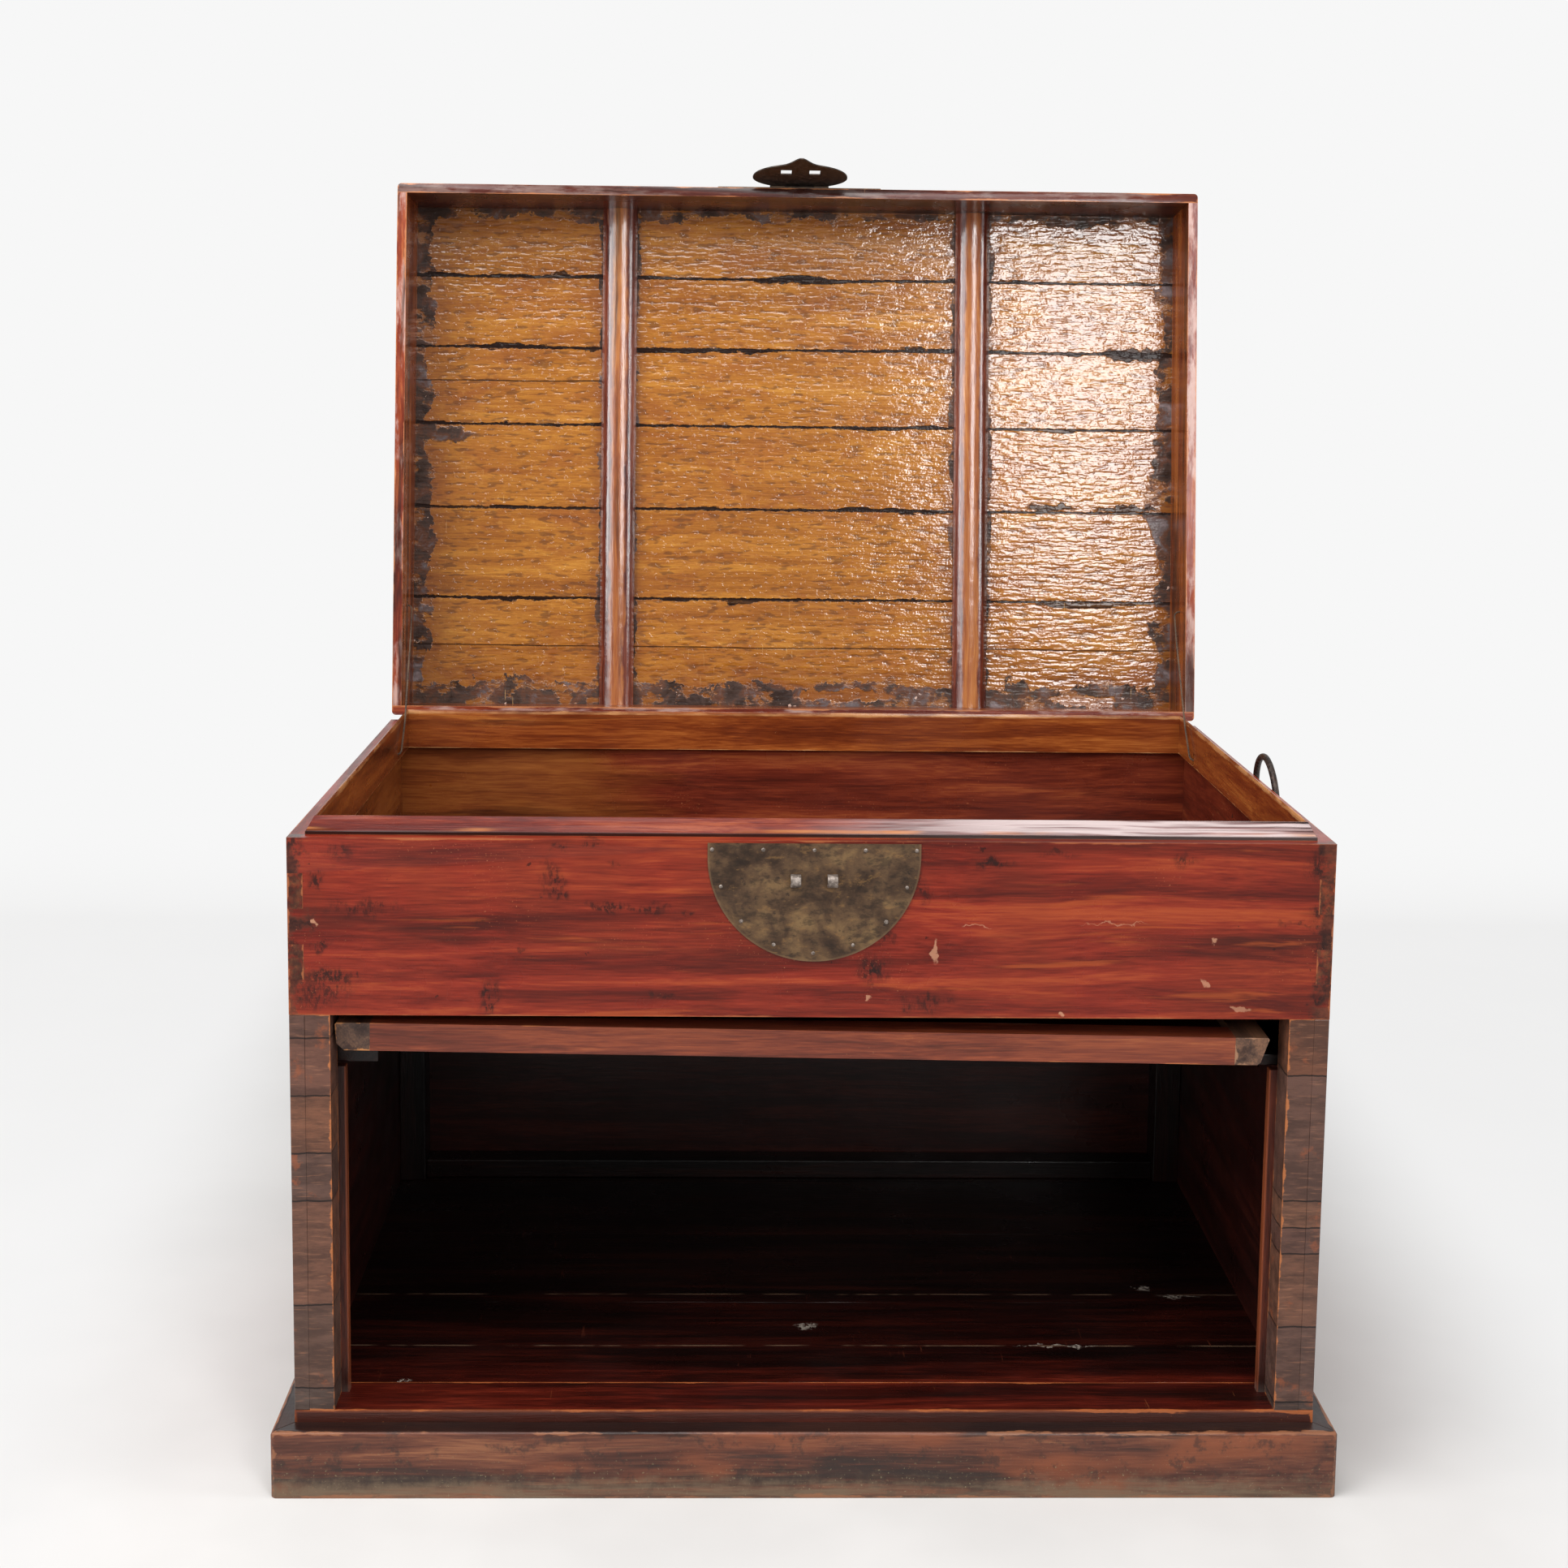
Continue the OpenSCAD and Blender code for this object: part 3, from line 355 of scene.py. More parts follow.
class Wood(Finish):
    """Old wood under stain and lacquer. grain is the axis that the fibres follow."""

    def __init__(self, name, grain="x", lid=False, seed=0.0):
        super().__init__(name)
        if lid:
            self.place = self.closed_lid(self.place)
        self.seeded = self.vector("ADD", self.place, (seed, seed * 1.7, seed * 0.6))
        self.sway = self.vector("SUBTRACT", self.noise_vector(4, 2), (0.5, 0.5, 0.5))
        stretch = {"x": (0.06, 1, 1), "y": (1, 0.06, 1), "z": (1, 1, 0.06)}[grain]
        self.lengthwise = self.stretched(self.seeded, tuple(min(1, 4 * part) for part in stretch))
        bent = self.vector("SCALE", self.sway, scale=0.012)
        self.along = self.vector("ADD", self.stretched(self.seeded, stretch), bent)
        self.fibre = self.noise(self.along, 420, 6, 0.6)
        self.figure = self.noise(self.along, 38, 4, 0.6, 0.6)
        self.cloud = self.noise(self.seeded, 7, 4, 0.6)
        frayed = self.vector("SUBTRACT", self.noise_vector(60, 4), (0.5, 0.5, 0.5))
        self.ragged = self.vector("ADD", self.place, self.vector("SCALE", frayed, scale=0.03))
        self.split = self.add("ShaderNodeSeparateXYZ", {0: self.place}).node

    def noise_vector(self, scale, detail):
        return self.add("ShaderNodeTexNoise", {"Vector": self.seeded, "Scale": scale, "Detail": detail}, out=1)

    def closed_lid(self, place):
        """Turns places on the open lid back to where they are when it is closed."""
        turn = Matrix.Rotation(lid_lean, 3, "X")
        shift = hinge_line - turn @ hinge_line
        inputs = {0: place, "Rotation": (lid_lean, 0, 0), "Location": shift}
        return self.add("ShaderNodeMapping", inputs, vector_type="POINT")

    def tone(self, stops, fine=0.35):
        value = self.plus(self.times(self.figure, 1 - fine), self.times(self.fibre, fine))
        return self.ramp(self.band(value, 0.3, 0.7), stops)

    def edges(self, low, high):
        """Distance in metres from a surface point to the nearest edge of the box between two corners."""
        gaps = []
        for i in range(3):
            middle, half = (low[i] + high[i]) / 2, (high[i] - low[i]) / 2
            off = self.size(self.less(self.split.outputs[i], middle))
            gaps.append(self.less(half, off))
        a, b, c = gaps
        small, large = self.least(a, b), self.math("MAXIMUM", a, b)
        return self.math("MAXIMUM", small, self.least(large, c))

    def worn(self, tint, edge, reach, bare, amount=0.8):
        """Bare wood along the edges, broken up by noise."""
        rub = self.noise(self.lengthwise, 40, 5, 0.65)
        limit = self.times(self.band(rub, 0.40, 0.75), reach)
        mask = self.band(self.less(edge, limit), -0.0012, 0.0006, amount, 0.0)
        return self.mix(mask, tint, bare)

    def stained(self, tint, scale, low, high, dark, amount=0.8, seed=5.0):
        """Dark smears that follow the grain."""
        at = self.vector("ADD", self.vector("SCALE", self.along, scale=1.6), (seed, seed, seed))
        smear = self.noise(at, scale, 5, 0.65)
        return self.mix(self.band(smear, low, high, 0, amount), tint, dark)

    def scratched(self, tint, scale, light, amount=0.6, turn=0.5):
        """Fine light scratches in one direction."""
        turned = {0: self.seeded, "Rotation": (turn, turn * 0.7, turn * 1.3)}
        turned["Scale"] = (scale, scale * 0.05, scale)
        line = self.noise(self.add("ShaderNodeMapping", turned), 1.0, 2, 0.5)
        rare = self.band(self.noise(self.seeded, 9, 2), 0.52, 0.66)
        mask = self.times(self.band(line, 0.70, 0.74, 0, amount), rare)
        return self.mix(mask, tint, light)

    def spot(self, at, half, depth, inner=0.35):
        """How much a place lies in a ragged spot. half holds 0 for the axis that doesn't count."""
        reach = tuple(1 / h if h else 0 for h in half)
        away = self.vector("MULTIPLY", self.vector("SUBTRACT", self.ragged, at), reach)
        return self.band(self.vector("LENGTH", away, out=1), inner, 1.1, depth, 0.0)

    def relief(self, fine, broad, scale=25):
        """Height of brush marks and fibres that stand out of the surface."""
        return self.plus(self.times(self.fibre, fine), self.times(self.noise(self.seeded, scale, 3), broad))

    def gloss(self, low, high):
        return self.band(self.cloud, 0.3, 0.7, low, high)


plinth_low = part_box("plinth_front")[0]
plinth_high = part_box("plinth_back")[1]


def plinth_finish(grain, seed):
    f = Wood("plinth " + grain, grain, seed=seed)
    height = f.split.outputs[2]
    tint = f.tone([(0, "#34190f"), (0.4, "#522c20"), (0.75, "#6c3e2b"), (1, "#8a583b")])
    tint = f.stained(tint, 14, 0.48, 0.60, "#1f1613", 0.85)
    tint = f.stained(tint, 30, 0.52, 0.62, "#2a1f1c", 0.75, 9.0)
    red = f.band(f.noise(f.stretched(f.seeded, (0.4, 1, 1)), 9, 3), 0.50, 0.62, 0, 0.65)
    tint = f.mix(red, tint, "#8a4a2c")
    grime = f.band(f.noise(f.seeded, 34, 6, 0.7), 0.52, 0.64, 0, 0.6)
    tint = f.mix(grime, tint, "#2b201c")
    flecks = f.band(f.noise(f.seeded, 300, 3, 0.6), 0.64, 0.70, 0, 0.7)
    tint = f.mix(f.times(flecks, f.band(height, 0.01, 0.07, 1.0, 0.15)), tint, "#8e8566")
    fringe = f.plus(height, f.times(f.less(f.noise(f.seeded, 45, 5, 0.7), 0.5), 0.05))
    dust = f.times(f.band(fringe, 0.004, 0.034, 0.85, 0.0), f.band(f.noise(f.along, 160, 4), 0.35, 0.6, 0.3, 1))
    tint = f.mix(dust, tint, "#6f5c48")
    tint = f.mix(f.band(height, plinth_high.z - 0.002, plinth_high.z - 0.0005, 0, 0.92), tint, "#1c0f0d")
    tint = f.worn(tint, f.edges(plinth_low, plinth_high), 0.008, "#8f5c3e", 0.7)
    tint = f.scratched(tint, 420, "#a3764f", 0.5)
    rough = f.plus(f.gloss(0.28, 0.45), f.times(dust, 0.35))
    return f.done(tint, rough, f.bump(f.relief(0.5, 0.6, 60), 0.0006), coat=0.1, coat_rough=0.25, specular=0.35)


plinth_long = plinth_finish("x", 0.0)
plinth_short = plinth_finish("y", 3.0)
for name in ("plinth_front", "plinth_back"):
    dress(name, plinth_long, 0.0012)
for name in ("plinth_left", "plinth_right", "floor_bearers"):
    dress(name, plinth_short, 0.0012)

# Lower floor
# The front sill and the floor planks of the lower compartment. The floor is red near the front and darkens
# to nearly black towards the back, which is painted shade inside the compartment, with pale worn lines along
# the open joints.
front_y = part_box("upper_front")[0].y
near_black = [(0, "#0c0504"), (0.5, "#180a08"), (1, "#2c120c")]
ember_reds = [(0, "#1e0705"), (0.45, "#340d08"), (0.8, "#4e160d"), (1, "#6c2516")]


def floor_finish(name, seed):
    f = Wood(name, "x", seed=seed)
    x, y, z = f.split.outputs
    blurred = f.plus(y, f.times(f.less(f.noise(f.stretched(f.seeded, (0.3, 1, 1)), 12, 4), 0.5), 0.12))
    middle = f.tone([(0, "#100504"), (0.5, "#230a07"), (1, "#3e140c")])
    # Red near the front, darker towards the back: painted shade inside the lower compartment.
    tint = f.mix(f.band(blurred, front_y + 0.05, front_y + 0.17), f.tone(ember_reds), middle)
    tint = f.mix(f.band(blurred, front_y + 0.24, front_y + 0.40), tint, f.tone(near_black))
    tint = f.stained(tint, 16, 0.5, 0.62, "#080403", 0.75)
    flakes = f.noise(f.stretched(f.seeded, (0.35, 1, 1)), 34, 4, 0.6)
    tint = f.mix(f.band(flakes, 0.735, 0.77, 0, 0.8), tint, "#75655a")
    tint = f.scratched(tint, 300, "#6b3524", 0.5)
    for at, half in floor_chips:
        flaky = f.band(f.noise(f.seeded, 240, 3, 0.6), 0.46, 0.52)
        tint = f.mix(f.times(f.spot(at, half, 0.9, 0.5), flaky), tint, "#a0958a")
    for seam in floor_seams:
        wander = f.times(f.less(f.noise(f.along, 30, 3), 0.5), 0.006)
        line = f.band(f.size(f.less(f.plus(y, wander), seam)), 0.0006, 0.0020, 1.0, 0.0)
        broken = f.band(f.noise(f.stretched(f.seeded, (0.3, 0, 0)), 40, 4), 0.44, 0.56)
        tint = f.mix(f.times(line, broken), tint, "#6e5644")
    return f.done(tint, f.gloss(0.22, 0.42), f.bump(f.relief(0.6, 0.8), 0.0010), coat=0.1, specular=0.35)


def sill_finish():
    f = Wood("front sill", "x", seed=1.0)
    tint = f.tone(ember_reds)
    face = f.band(f.split.outputs[1], front_y + 0.0004, front_y + 0.0012, 0.7, 0.0)
    tint = f.mix(face, tint, "#3f2018")
    tint = f.stained(tint, 16, 0.5, 0.62, "#140806", 0.7)
    low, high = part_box("sill_front")
    upper_arris = f.edges(low - Vector((0, 0, 0.03)), high)
    # The soft orange band along the upper arrises is a painted highlight; the broken orange after it is wear.
    tint = f.mix(f.band(upper_arris, 0.0008, 0.0040, 0.55, 0.0), tint, "#8a4526")
    tint = f.worn(tint, upper_arris, 0.006, "#b06234", 0.75)
    tint = f.scratched(tint, 300, "#93552f", 0.5)
    return f.done(tint, f.gloss(0.25, 0.42), f.bump(f.relief(0.6, 0.8), 0.0008), coat=0.1, specular=0.35)


floor_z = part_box("sill_front")[1].z
floor_seams = [front_y + 0.172, front_y + 0.325]
floor_chips = [
    ((0.006, front_y + 0.228, floor_z), (0.016, 0.010, 0)),
    ((0.510, front_y + 0.318, floor_z), (0.030, 0.006, 0)),
    ((0.464, front_y + 0.345, floor_z), (0.012, 0.008, 0)),
    ((-0.491, front_y + 0.075, floor_z), (0.014, 0.004, 0)),
    ((0.328, front_y + 0.171, floor_z), (0.060, 0.003, 0)),
]
dress("sill_front", sill_finish(), 0.0015, 0.0004)
inner_floor = floor_finish("lower floor", 2.0)
dress("floor_planks", inner_floor, 0.0012, 0.0005)
dress("sill_back", inner_floor)

# Posts
# The front posts are brown and dirty. Old repairs and drying cracks part them into blocks of different
# tone. The arris beside the opening is worn to orange, and this orange line is partly a painted highlight.
# The rear posts are almost black.


post_cuts = {
    "left": [0.125, 0.227, 0.354, 0.412, 0.481, 0.550],
    "right": [0.107, 0.201, 0.292, 0.324, 0.357, 0.510],
}
post_tones = {
    "left": ["#54443d", "#5f453a", "#6a4738", "#5a4138", "#714936", "#644236", "#5c3f35"],
    "right": ["#4a3c37", "#5d433a", "#684637", "#5b3f36", "#6c4938", "#5d4137", "#66402f"],
}


def dirty_blocks(f, side):
    """Blocks of brown wood one above another, with a crack between each two."""
    low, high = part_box("front_post_" + side)
    at = f.vector("ADD", f.place, (4.0, 6.8, 2.4))
    wander = f.times(f.less(f.noise(f.stretched(at, (1, 1, 0.2)), 30, 4), 0.5), 0.006)
    wavy = f.plus(f.split.outputs[2], wander)
    share = f.times(f.less(wavy, low.z), 1 / (high.z - low.z))
    starts = [0] + [(cut - low.z) / (high.z - low.z) for cut in post_cuts[side]]
    tint = f.ramp(share, list(zip(starts, post_tones[side])), steps=True)
    across = f.noise(f.stretched(at, (0.25, 1, 1)), 60, 5, 0.7)
    tint = f.mix(f.band(across, 0.38, 0.66, 0.6, 0), tint, "#30201b")
    tint = f.mix(f.band(f.noise(f.stretched(at, (0.1, 1, 1)), 400, 4), 0.55, 0.75, 0, 0.4), tint, "#9a6a50")
    tint = f.mix(f.band(f.noise(at, 24, 5, 0.65), 0.58, 0.68, 0, 0.6), tint, "#8a4a2c")
    gap = 1.0
    for cut in post_cuts[side]:
        gap = f.least(gap, f.size(f.less(wavy, cut)))
    return f.mix(f.band(gap, 0.0006, 0.0014, 0.9, 0.0), tint, "#140b09"), across


def post_finish(side):
    f = Wood("front_post_" + side + "_wood", "x")
    tint, across = dirty_blocks(f, side)
    low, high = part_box("front_post_" + side)
    outward = Vector((0.02, 0, 0))
    low, high = (low - outward, high) if side == "left" else (low, high + outward)
    # The orange along the arris beside the opening is wear and partly a painted highlight.
    tint = f.worn(tint, f.edges(low, high), 0.005, "#b06a3c", 0.8)
    return f.done(tint, f.gloss(0.4, 0.6), f.bump(f.plus(f.relief(0.4, 0.5, 40), across), 0.0005), specular=0.3)


for side in ("left", "right"):
    dress("front_post_" + side, post_finish(side), 0.0012, 0.0004)


def inside_finish(name, grain, seed, stops, wear="#5a3020"):
    f = Wood(name, grain, seed=seed)
    tint = f.tone(stops)
    tint = f.stained(tint, 18, 0.5, 0.64, "#0a0504", 0.7)
    tint = f.scratched(tint, 300, wear, 0.35)
    return f.done(tint, f.gloss(0.25, 0.45), f.bump(f.relief(0.6, 0.5), 0.0007), coat=0.1, specular=0.3)


dark_upright = inside_finish("dark upright", "z", 7.0, near_black)
dark_cross = inside_finish("dark cross rail", "x", 8.0, near_black)
dress("rear_posts", dark_upright)
dress("back_foot_rail", dark_cross)

# Stop strips
# Narrow upright strips behind the posts, against which the front panel closes. An orange band along the
# inner side of each is a painted highlight, and dust lies at their feet.


def strip_finish():
    f = Wood("stop strips", "z", seed=9.0)
    low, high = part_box("stop_strips")
    side = f.size(f.split.outputs[0])
    tint = f.tone([(0, "#1f0d0a"), (0.5, "#3c1a13"), (1, "#5f2a1b")])
    # A painted orange highlight along the inner side of each strip.
    ridge_highlight = f.band(f.less(side, strip_inner), 0.0008, 0.0026, 0.85, 0.0)
    tint = f.mix(f.times(ridge_highlight, f.band(f.figure, 0.3, 0.6, 0.4, 1)), tint, "#8f4a2c")
    tint = f.stained(tint, 18, 0.55, 0.66, "#120806", 0.6)
    dust = f.band(f.plus(f.split.outputs[2], f.times(f.noise(f.seeded, 50, 4), 0.03)), low.z, low.z + 0.03, 0.7, 0.0)
    tint = f.mix(dust, tint, "#7b706a")
    return f.done(tint, f.gloss(0.3, 0.45), f.bump(f.relief(0.6, 0.5), 0.0007), coat=0.1, specular=0.3)


strip_corners = [v.co for v in frame["nodes"]["stop_strips"].data.vertices]
strip_inner = min(abs(corner.x) for corner in strip_corners)
dress("stop_strips", strip_finish(), 0.002, 0.0003)

# Carcass boards
# Pine boards under red-brown lacquer, with knots, soot, dark smears and scratches. The upper boards are
# finger-jointed at the corners, and the ends of the fingers show as brown blocks of end grain.
lacquer_stops = [(0, "#42110b"), (0.3, "#651b11"), (0.65, "#82291a"), (1, "#9d4424")]
cellar_stops = [(0, "#3a130c"), (0.4, "#571f13"), (0.75, "#6e2d1a"), (1, "#874424")]
outer_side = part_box("upper_right")[1].x


def board_finish(name, grain, seed, soot=(), pale=(), corner=0.0):
    """Boards of the carcass. Inner faces keep a darker, dry finish."""
    f = Wood(name + "_wood", grain, seed=seed)
    x, y, z = f.split.outputs
    low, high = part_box(name)
    tint = f.tone(lacquer_stops, 0.3)
    tint = f.mix(f.band(f.cloud, 0.35, 0.7, 0, 0.5), tint, f.tone([(0, "#4a150d"), (1, "#88361a")]))
    tint = f.stained(tint, 12, 0.54, 0.70, "#2f110b", 0.8)
    wisps = f.band(f.noise(f.stretched(f.along, (1.5, 1.5, 1.5)), 55, 4), 0.60, 0.72, 0, 0.55)
    tint = f.mix(wisps, tint, "#a04a22")
    spots = f.band(f.noise(f.seeded, 75, 3, 0.6), 0.72, 0.77, 0, 0.7)
    tint = f.mix(spots, tint, "#1c0c09")
    if corner:
        side = f.less(outer_side, f.size(x))
        ragged = f.plus(side, f.band(f.noise(f.seeded, 30, 5, 0.7), 0.3, 0.7, -corner, corner))
        dirt = f.ramp(f.noise(f.seeded, 60, 4), [(0.35, "#241410"), (0.65, "#6a3a28")])
        tint = f.mix(f.band(ragged, 0.0, corner, 0.85, 0.0), tint, dirt)
    if grain == "y":
        block = f.ramp(f.noise(f.seeded, 70, 5, 0.65), [(0.32, "#1f120d"), (0.5, "#40261b"), (0.68, "#6a4028")])
        ends = f.band(y, front_y + 0.001, front_y + 0.003, 1.0, 0.0)
        tint = f.mix(f.times(ends, f.band(f.noise(f.seeded, 110, 4, 0.6), 0.4, 0.55, 0.45, 0.9)), tint, block)
    off_side, off_front = f.less(inner_side, f.size(x)), f.less(y, front_y + 0.018)
    off_back = f.less(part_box("upper_back")[1].y - 0.018, y)
    inward = f.band(f.least(off_side, f.least(off_front, off_back)), -0.0015, -0.0008)
    bare = f.band(f.plus(x, f.times(f.less(f.noise(f.lengthwise, 12, 4), 0.5), 0.9)), -0.35, -0.15, 0.8, 0.0)
    inner = f.mix(bare, f.tone(cellar_stops), f.tone([(0, "#4f240f"), (0.5, "#703a18"), (1, "#8c5424")]))
    tint = f.mix(inward, tint, f.stained(inner, 14, 0.54, 0.68, "#2a0e09", 0.7))
    flecked = f.band(f.noise(f.stretched(f.seeded, (1.3, 1, 0.7)), 170, 4, 0.65), 0.42, 0.58, 0.25, 1.0)
    for px, pz, half_w, half_h, depth in soot:
        mark = f.times(f.spot((px, front_y, pz), (half_w, 0, half_h), depth, 0.2), flecked)
        tint = f.mix(mark, tint, "#1d0e0b")
    for px, pz, half_w, half_h, depth in pale:
        tint = f.mix(f.spot((px, front_y, pz), (half_w, 0, half_h), depth, 0.6), tint, "#bd8a6c")
    tint = f.worn(tint, f.edges(low, high), 0.0035, "#a5603a", 0.7)
    tint = f.scratched(tint, 500, "#b97a50", 0.6)
    tint = f.scratched(tint, 380, "#a5623c", 0.5, -0.4)
    height = f.relief(0.25, 0.9, 22)
    return f.done(tint, f.gloss(0.24, 0.38), f.bump(height, 0.0006), coat=0.08, coat_rough=0.2, specular=0.22)


front_soot = [
    (-0.293, 0.780, 0.013, 0.009, 0.9), (-0.258, 0.782, 0.018, 0.005, 0.7), (-0.301, 0.738, 0.016, 0.026, 0.9),
    (-0.289, 0.719, 0.014, 0.010, 0.8), (-0.230, 0.758, 0.012, 0.008, 0.7), (-0.235, 0.708, 0.045, 0.008, 0.85),
    (-0.190, 0.705, 0.030, 0.007, 0.8), (-0.146, 0.703, 0.012, 0.006, 0.7), (-0.373, 0.599, 0.014, 0.026, 0.95),
    (-0.177, 0.602, 0.018, 0.006, 0.8), (-0.385, 0.688, 0.012, 0.004, 0.6), (-0.339, 0.655, 0.010, 0.004, 0.6),
    (-0.571, 0.738, 0.013, 0.012, 0.9), (-0.568, 0.660, 0.014, 0.010, 0.9), (-0.559, 0.623, 0.045, 0.012, 0.9),
    (-0.598, 0.780, 0.014, 0.012, 0.9), (-0.601, 0.733, 0.010, 0.018, 0.9), (-0.600, 0.658, 0.012, 0.012, 0.9),
    (0.206, 0.763, 0.034, 0.008, 0.9), (0.284, 0.774, 0.030, 0.006, 0.6), (0.431, 0.766, 0.018, 0.010, 0.75),
    (0.128, 0.730, 0.012, 0.022, 0.85), (0.069, 0.634, 0.026, 0.024, 0.95), (0.085, 0.672, 0.014, 0.012, 0.8),
    (0.135, 0.598, 0.016, 0.018, 0.8), (0.111, 0.594, 0.014, 0.010, 0.8), (0.159, 0.602, 0.010, 0.010, 0.7),
    (0.582, 0.761, 0.018, 0.026, 0.85), (0.590, 0.704, 0.016, 0.014, 0.85), (0.592, 0.660, 0.014, 0.018, 0.85),
    (0.594, 0.605, 0.014, 0.014, 0.85), (0.559, 0.691, 0.030, 0.003, 0.7),
    (-0.515, 0.704, 0.060, 0.012, 0.7), (-0.568, 0.603, 0.048, 0.022, 0.75), (-0.545, 0.770, 0.022, 0.014, 0.7),
]
front_pale = [
    (0.142, 0.655, 0.003, 0.014, 0.6), (0.466, 0.672, 0.004, 0.003, 0.6), (0.458, 0.620, 0.003, 0.007, 0.6),
    (0.066, 0.600, 0.003, 0.003, 0.6), (0.287, 0.584, 0.004, 0.003, 0.7), (0.498, 0.590, 0.012, 0.003, 0.5),
    (0.189, 0.687, 0.018, 0.001, 0.5), (0.350, 0.692, 0.040, 0.001, 0.4), (-0.578, 0.687, 0.005, 0.004, 0.7),
]
front_finish = board_finish("upper_front", "x", 11.0, front_soot, front_pale, 0.022)
dress("upper_front", front_finish, 0.0012)
dress("upper_back", board_finish("upper_back", "x", 12.0), 0.0012)
for side, seed in (("left", 14.0), ("right", 17.0)):
    dress("upper_" + side, board_finish("upper_" + side, "y", seed), 0.0012)

# Lower boards
# The lower side and back boards carry the same lacquer outside. Inside they are coloured dark, almost black.


def lower_finish(name, grain, seed, inner, side=""):
    """inner gives the axis across the board and the place of its inner face."""
    f = Wood(name + "_wood", grain, seed=seed)
    tint = f.tone(lacquer_stops, 0.3)
    tint = f.stained(tint, 12, 0.56, 0.70, "#33100a", 0.75)
    tint = f.worn(tint, f.edges(*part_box(name)), 0.0035, "#a5603a", 0.7)
    tint = f.scratched(tint, 500, "#b97a50", 0.6)
    axis, face = inner
    gap = f.less(f.size(f.split.outputs[axis]), face)
    dark = f.tone([(0, "#1d0c09"), (0.5, "#331410"), (1, "#4c2017")])
    tint = f.mix(f.band(gap, 0.001, 0.002, 1.0, 0.0), tint, dark)
    if side:
        front_edge = f.band(f.split.outputs[1], front_y + 0.001, front_y + 0.003, 1.0, 0.0)
        tint = f.mix(front_edge, tint, dirty_blocks(f, side)[0])
    height = f.relief(0.25, 0.9, 22)
    return f.done(tint, f.gloss(0.26, 0.42), f.bump(height, 0.0006), coat=0.1, coat_rough=0.2, specular=0.3)


back_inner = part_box("lower_back")[0].y
dress("lower_back", lower_finish("lower_back", "x", 13.0, (1, back_inner)), 0.0012)
for side, seed in (("left", 15.0), ("right", 18.0)):
    name = "lower_side_" + side
    dress(name, lower_finish(name, "y", seed, (0, inner_side), side), 0.0012)

# Upper compartment
# The floor of the upper compartment on its two bearers, in golden brown boards.


def amber_finish(name, grain, seed, stops, reach=0.004, bare="#c08a58", coat=0.3):
    f = Wood(name + "_wood", grain, seed=seed)
    tint = f.tone(stops)
    tint = f.stained(tint, 15, 0.54, 0.68, "#2c0f09", 0.75)
    tint = f.worn(tint, f.edges(*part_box(name)), reach, bare, 0.8)
    tint = f.scratched(tint, 400, "#c08a5c", 0.45)
    return f.done(tint, f.gloss(0.16, 0.32), f.bump(f.relief(0.3, 0.8), 0.0006), coat=coat, specular=0.4)


warm_stops = [(0, "#4a1c0e"), (0.4, "#6c3014"), (0.75, "#8a481e"), (1, "#a5632c")]
dress("deck_bearers", dark_cross)
dress("deck_planks", amber_finish("deck_planks", "x", 20.0, warm_stops), 0.001)

# Lip
# Four mitred strips inside the rim, on which the closed lid is centred. Their tops are planed to a slope
# that rises inwards. The front one is red-brown, with a pale painted reflection of glare towards the right.
rim_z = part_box("upper_front")[1].z
lip_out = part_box("lip_left")[0]
lip_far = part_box("lip_right")[1]
lip_t = 0.012
lip_slope = [(0.0, 0.0030), (0.1, 0.0045), (0.8, 0.0200), (0.93, 0.0200), (1.0, 0.0165)]


def sloped_top(at):
    """Turns the round top of a lip strip into a slope with a soft crest."""
    if at.z < rim_z + 0.005:
        return at
    inwards = min(at.x - lip_out.x, lip_far.x - at.x, at.y - lip_out.y, lip_far.y - at.y) / lip_t
    share = min(1.0, max(0.0, inwards))
    for (a, low), (b, high) in zip(lip_slope, lip_slope[1:]):
        if share <= b:
            return Vector((at.x, at.y, rim_z + low + (high - low) * (share - a) / (b - a)))


red_stops = [(0, "#3c0f0a"), (0.4, "#561810"), (0.75, "#702818"), (1, "#8e4428")]


def front_lip_finish():
    """Painted pale towards its right end, as a painted reflection of glare."""
    f = Wood("lip_front_wood", "x", seed=21.0)
    tint = f.tone(red_stops)
    tint = f.stained(tint, 15, 0.56, 0.68, "#2c0f09", 0.7)
    tint = f.worn(tint, f.edges(*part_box("lip_front")), 0.003, "#b8683a", 0.8)
    streaks = f.band(f.noise(f.stretched(f.along, (1, 3, 3)), 60, 4, 0.6), 0.36, 0.54, 0.25, 1.0)
    # Pale towards the right end: a painted reflection of glare.
    painted_glare = f.times(f.band(f.split.outputs[0], -0.05, 0.28, 0, 0.85), streaks)
    tint = f.mix(painted_glare, tint, "#c4b4b2")
    groove = f.band(f.less(f.split.outputs[2], rim_z), 0.0030, 0.0048, 0.9, 0.0)
    tint = f.mix(groove, tint, "#22110d")
    gold = f.band(f.noise(f.lengthwise, 12, 4, 0.6), 0.50, 0.62, 0, 0.8)
    low_edge = f.band(f.size(f.less(f.split.outputs[2], rim_z + 0.0062)), 0.0008, 0.0026, 1.0, 0.0)
    tint = f.mix(f.times(gold, low_edge), tint, "#b8733c")
    return f.done(tint, f.gloss(0.3, 0.45), f.bump(f.relief(0.3, 0.8), 0.0006), coat=0.05, specular=0.2)


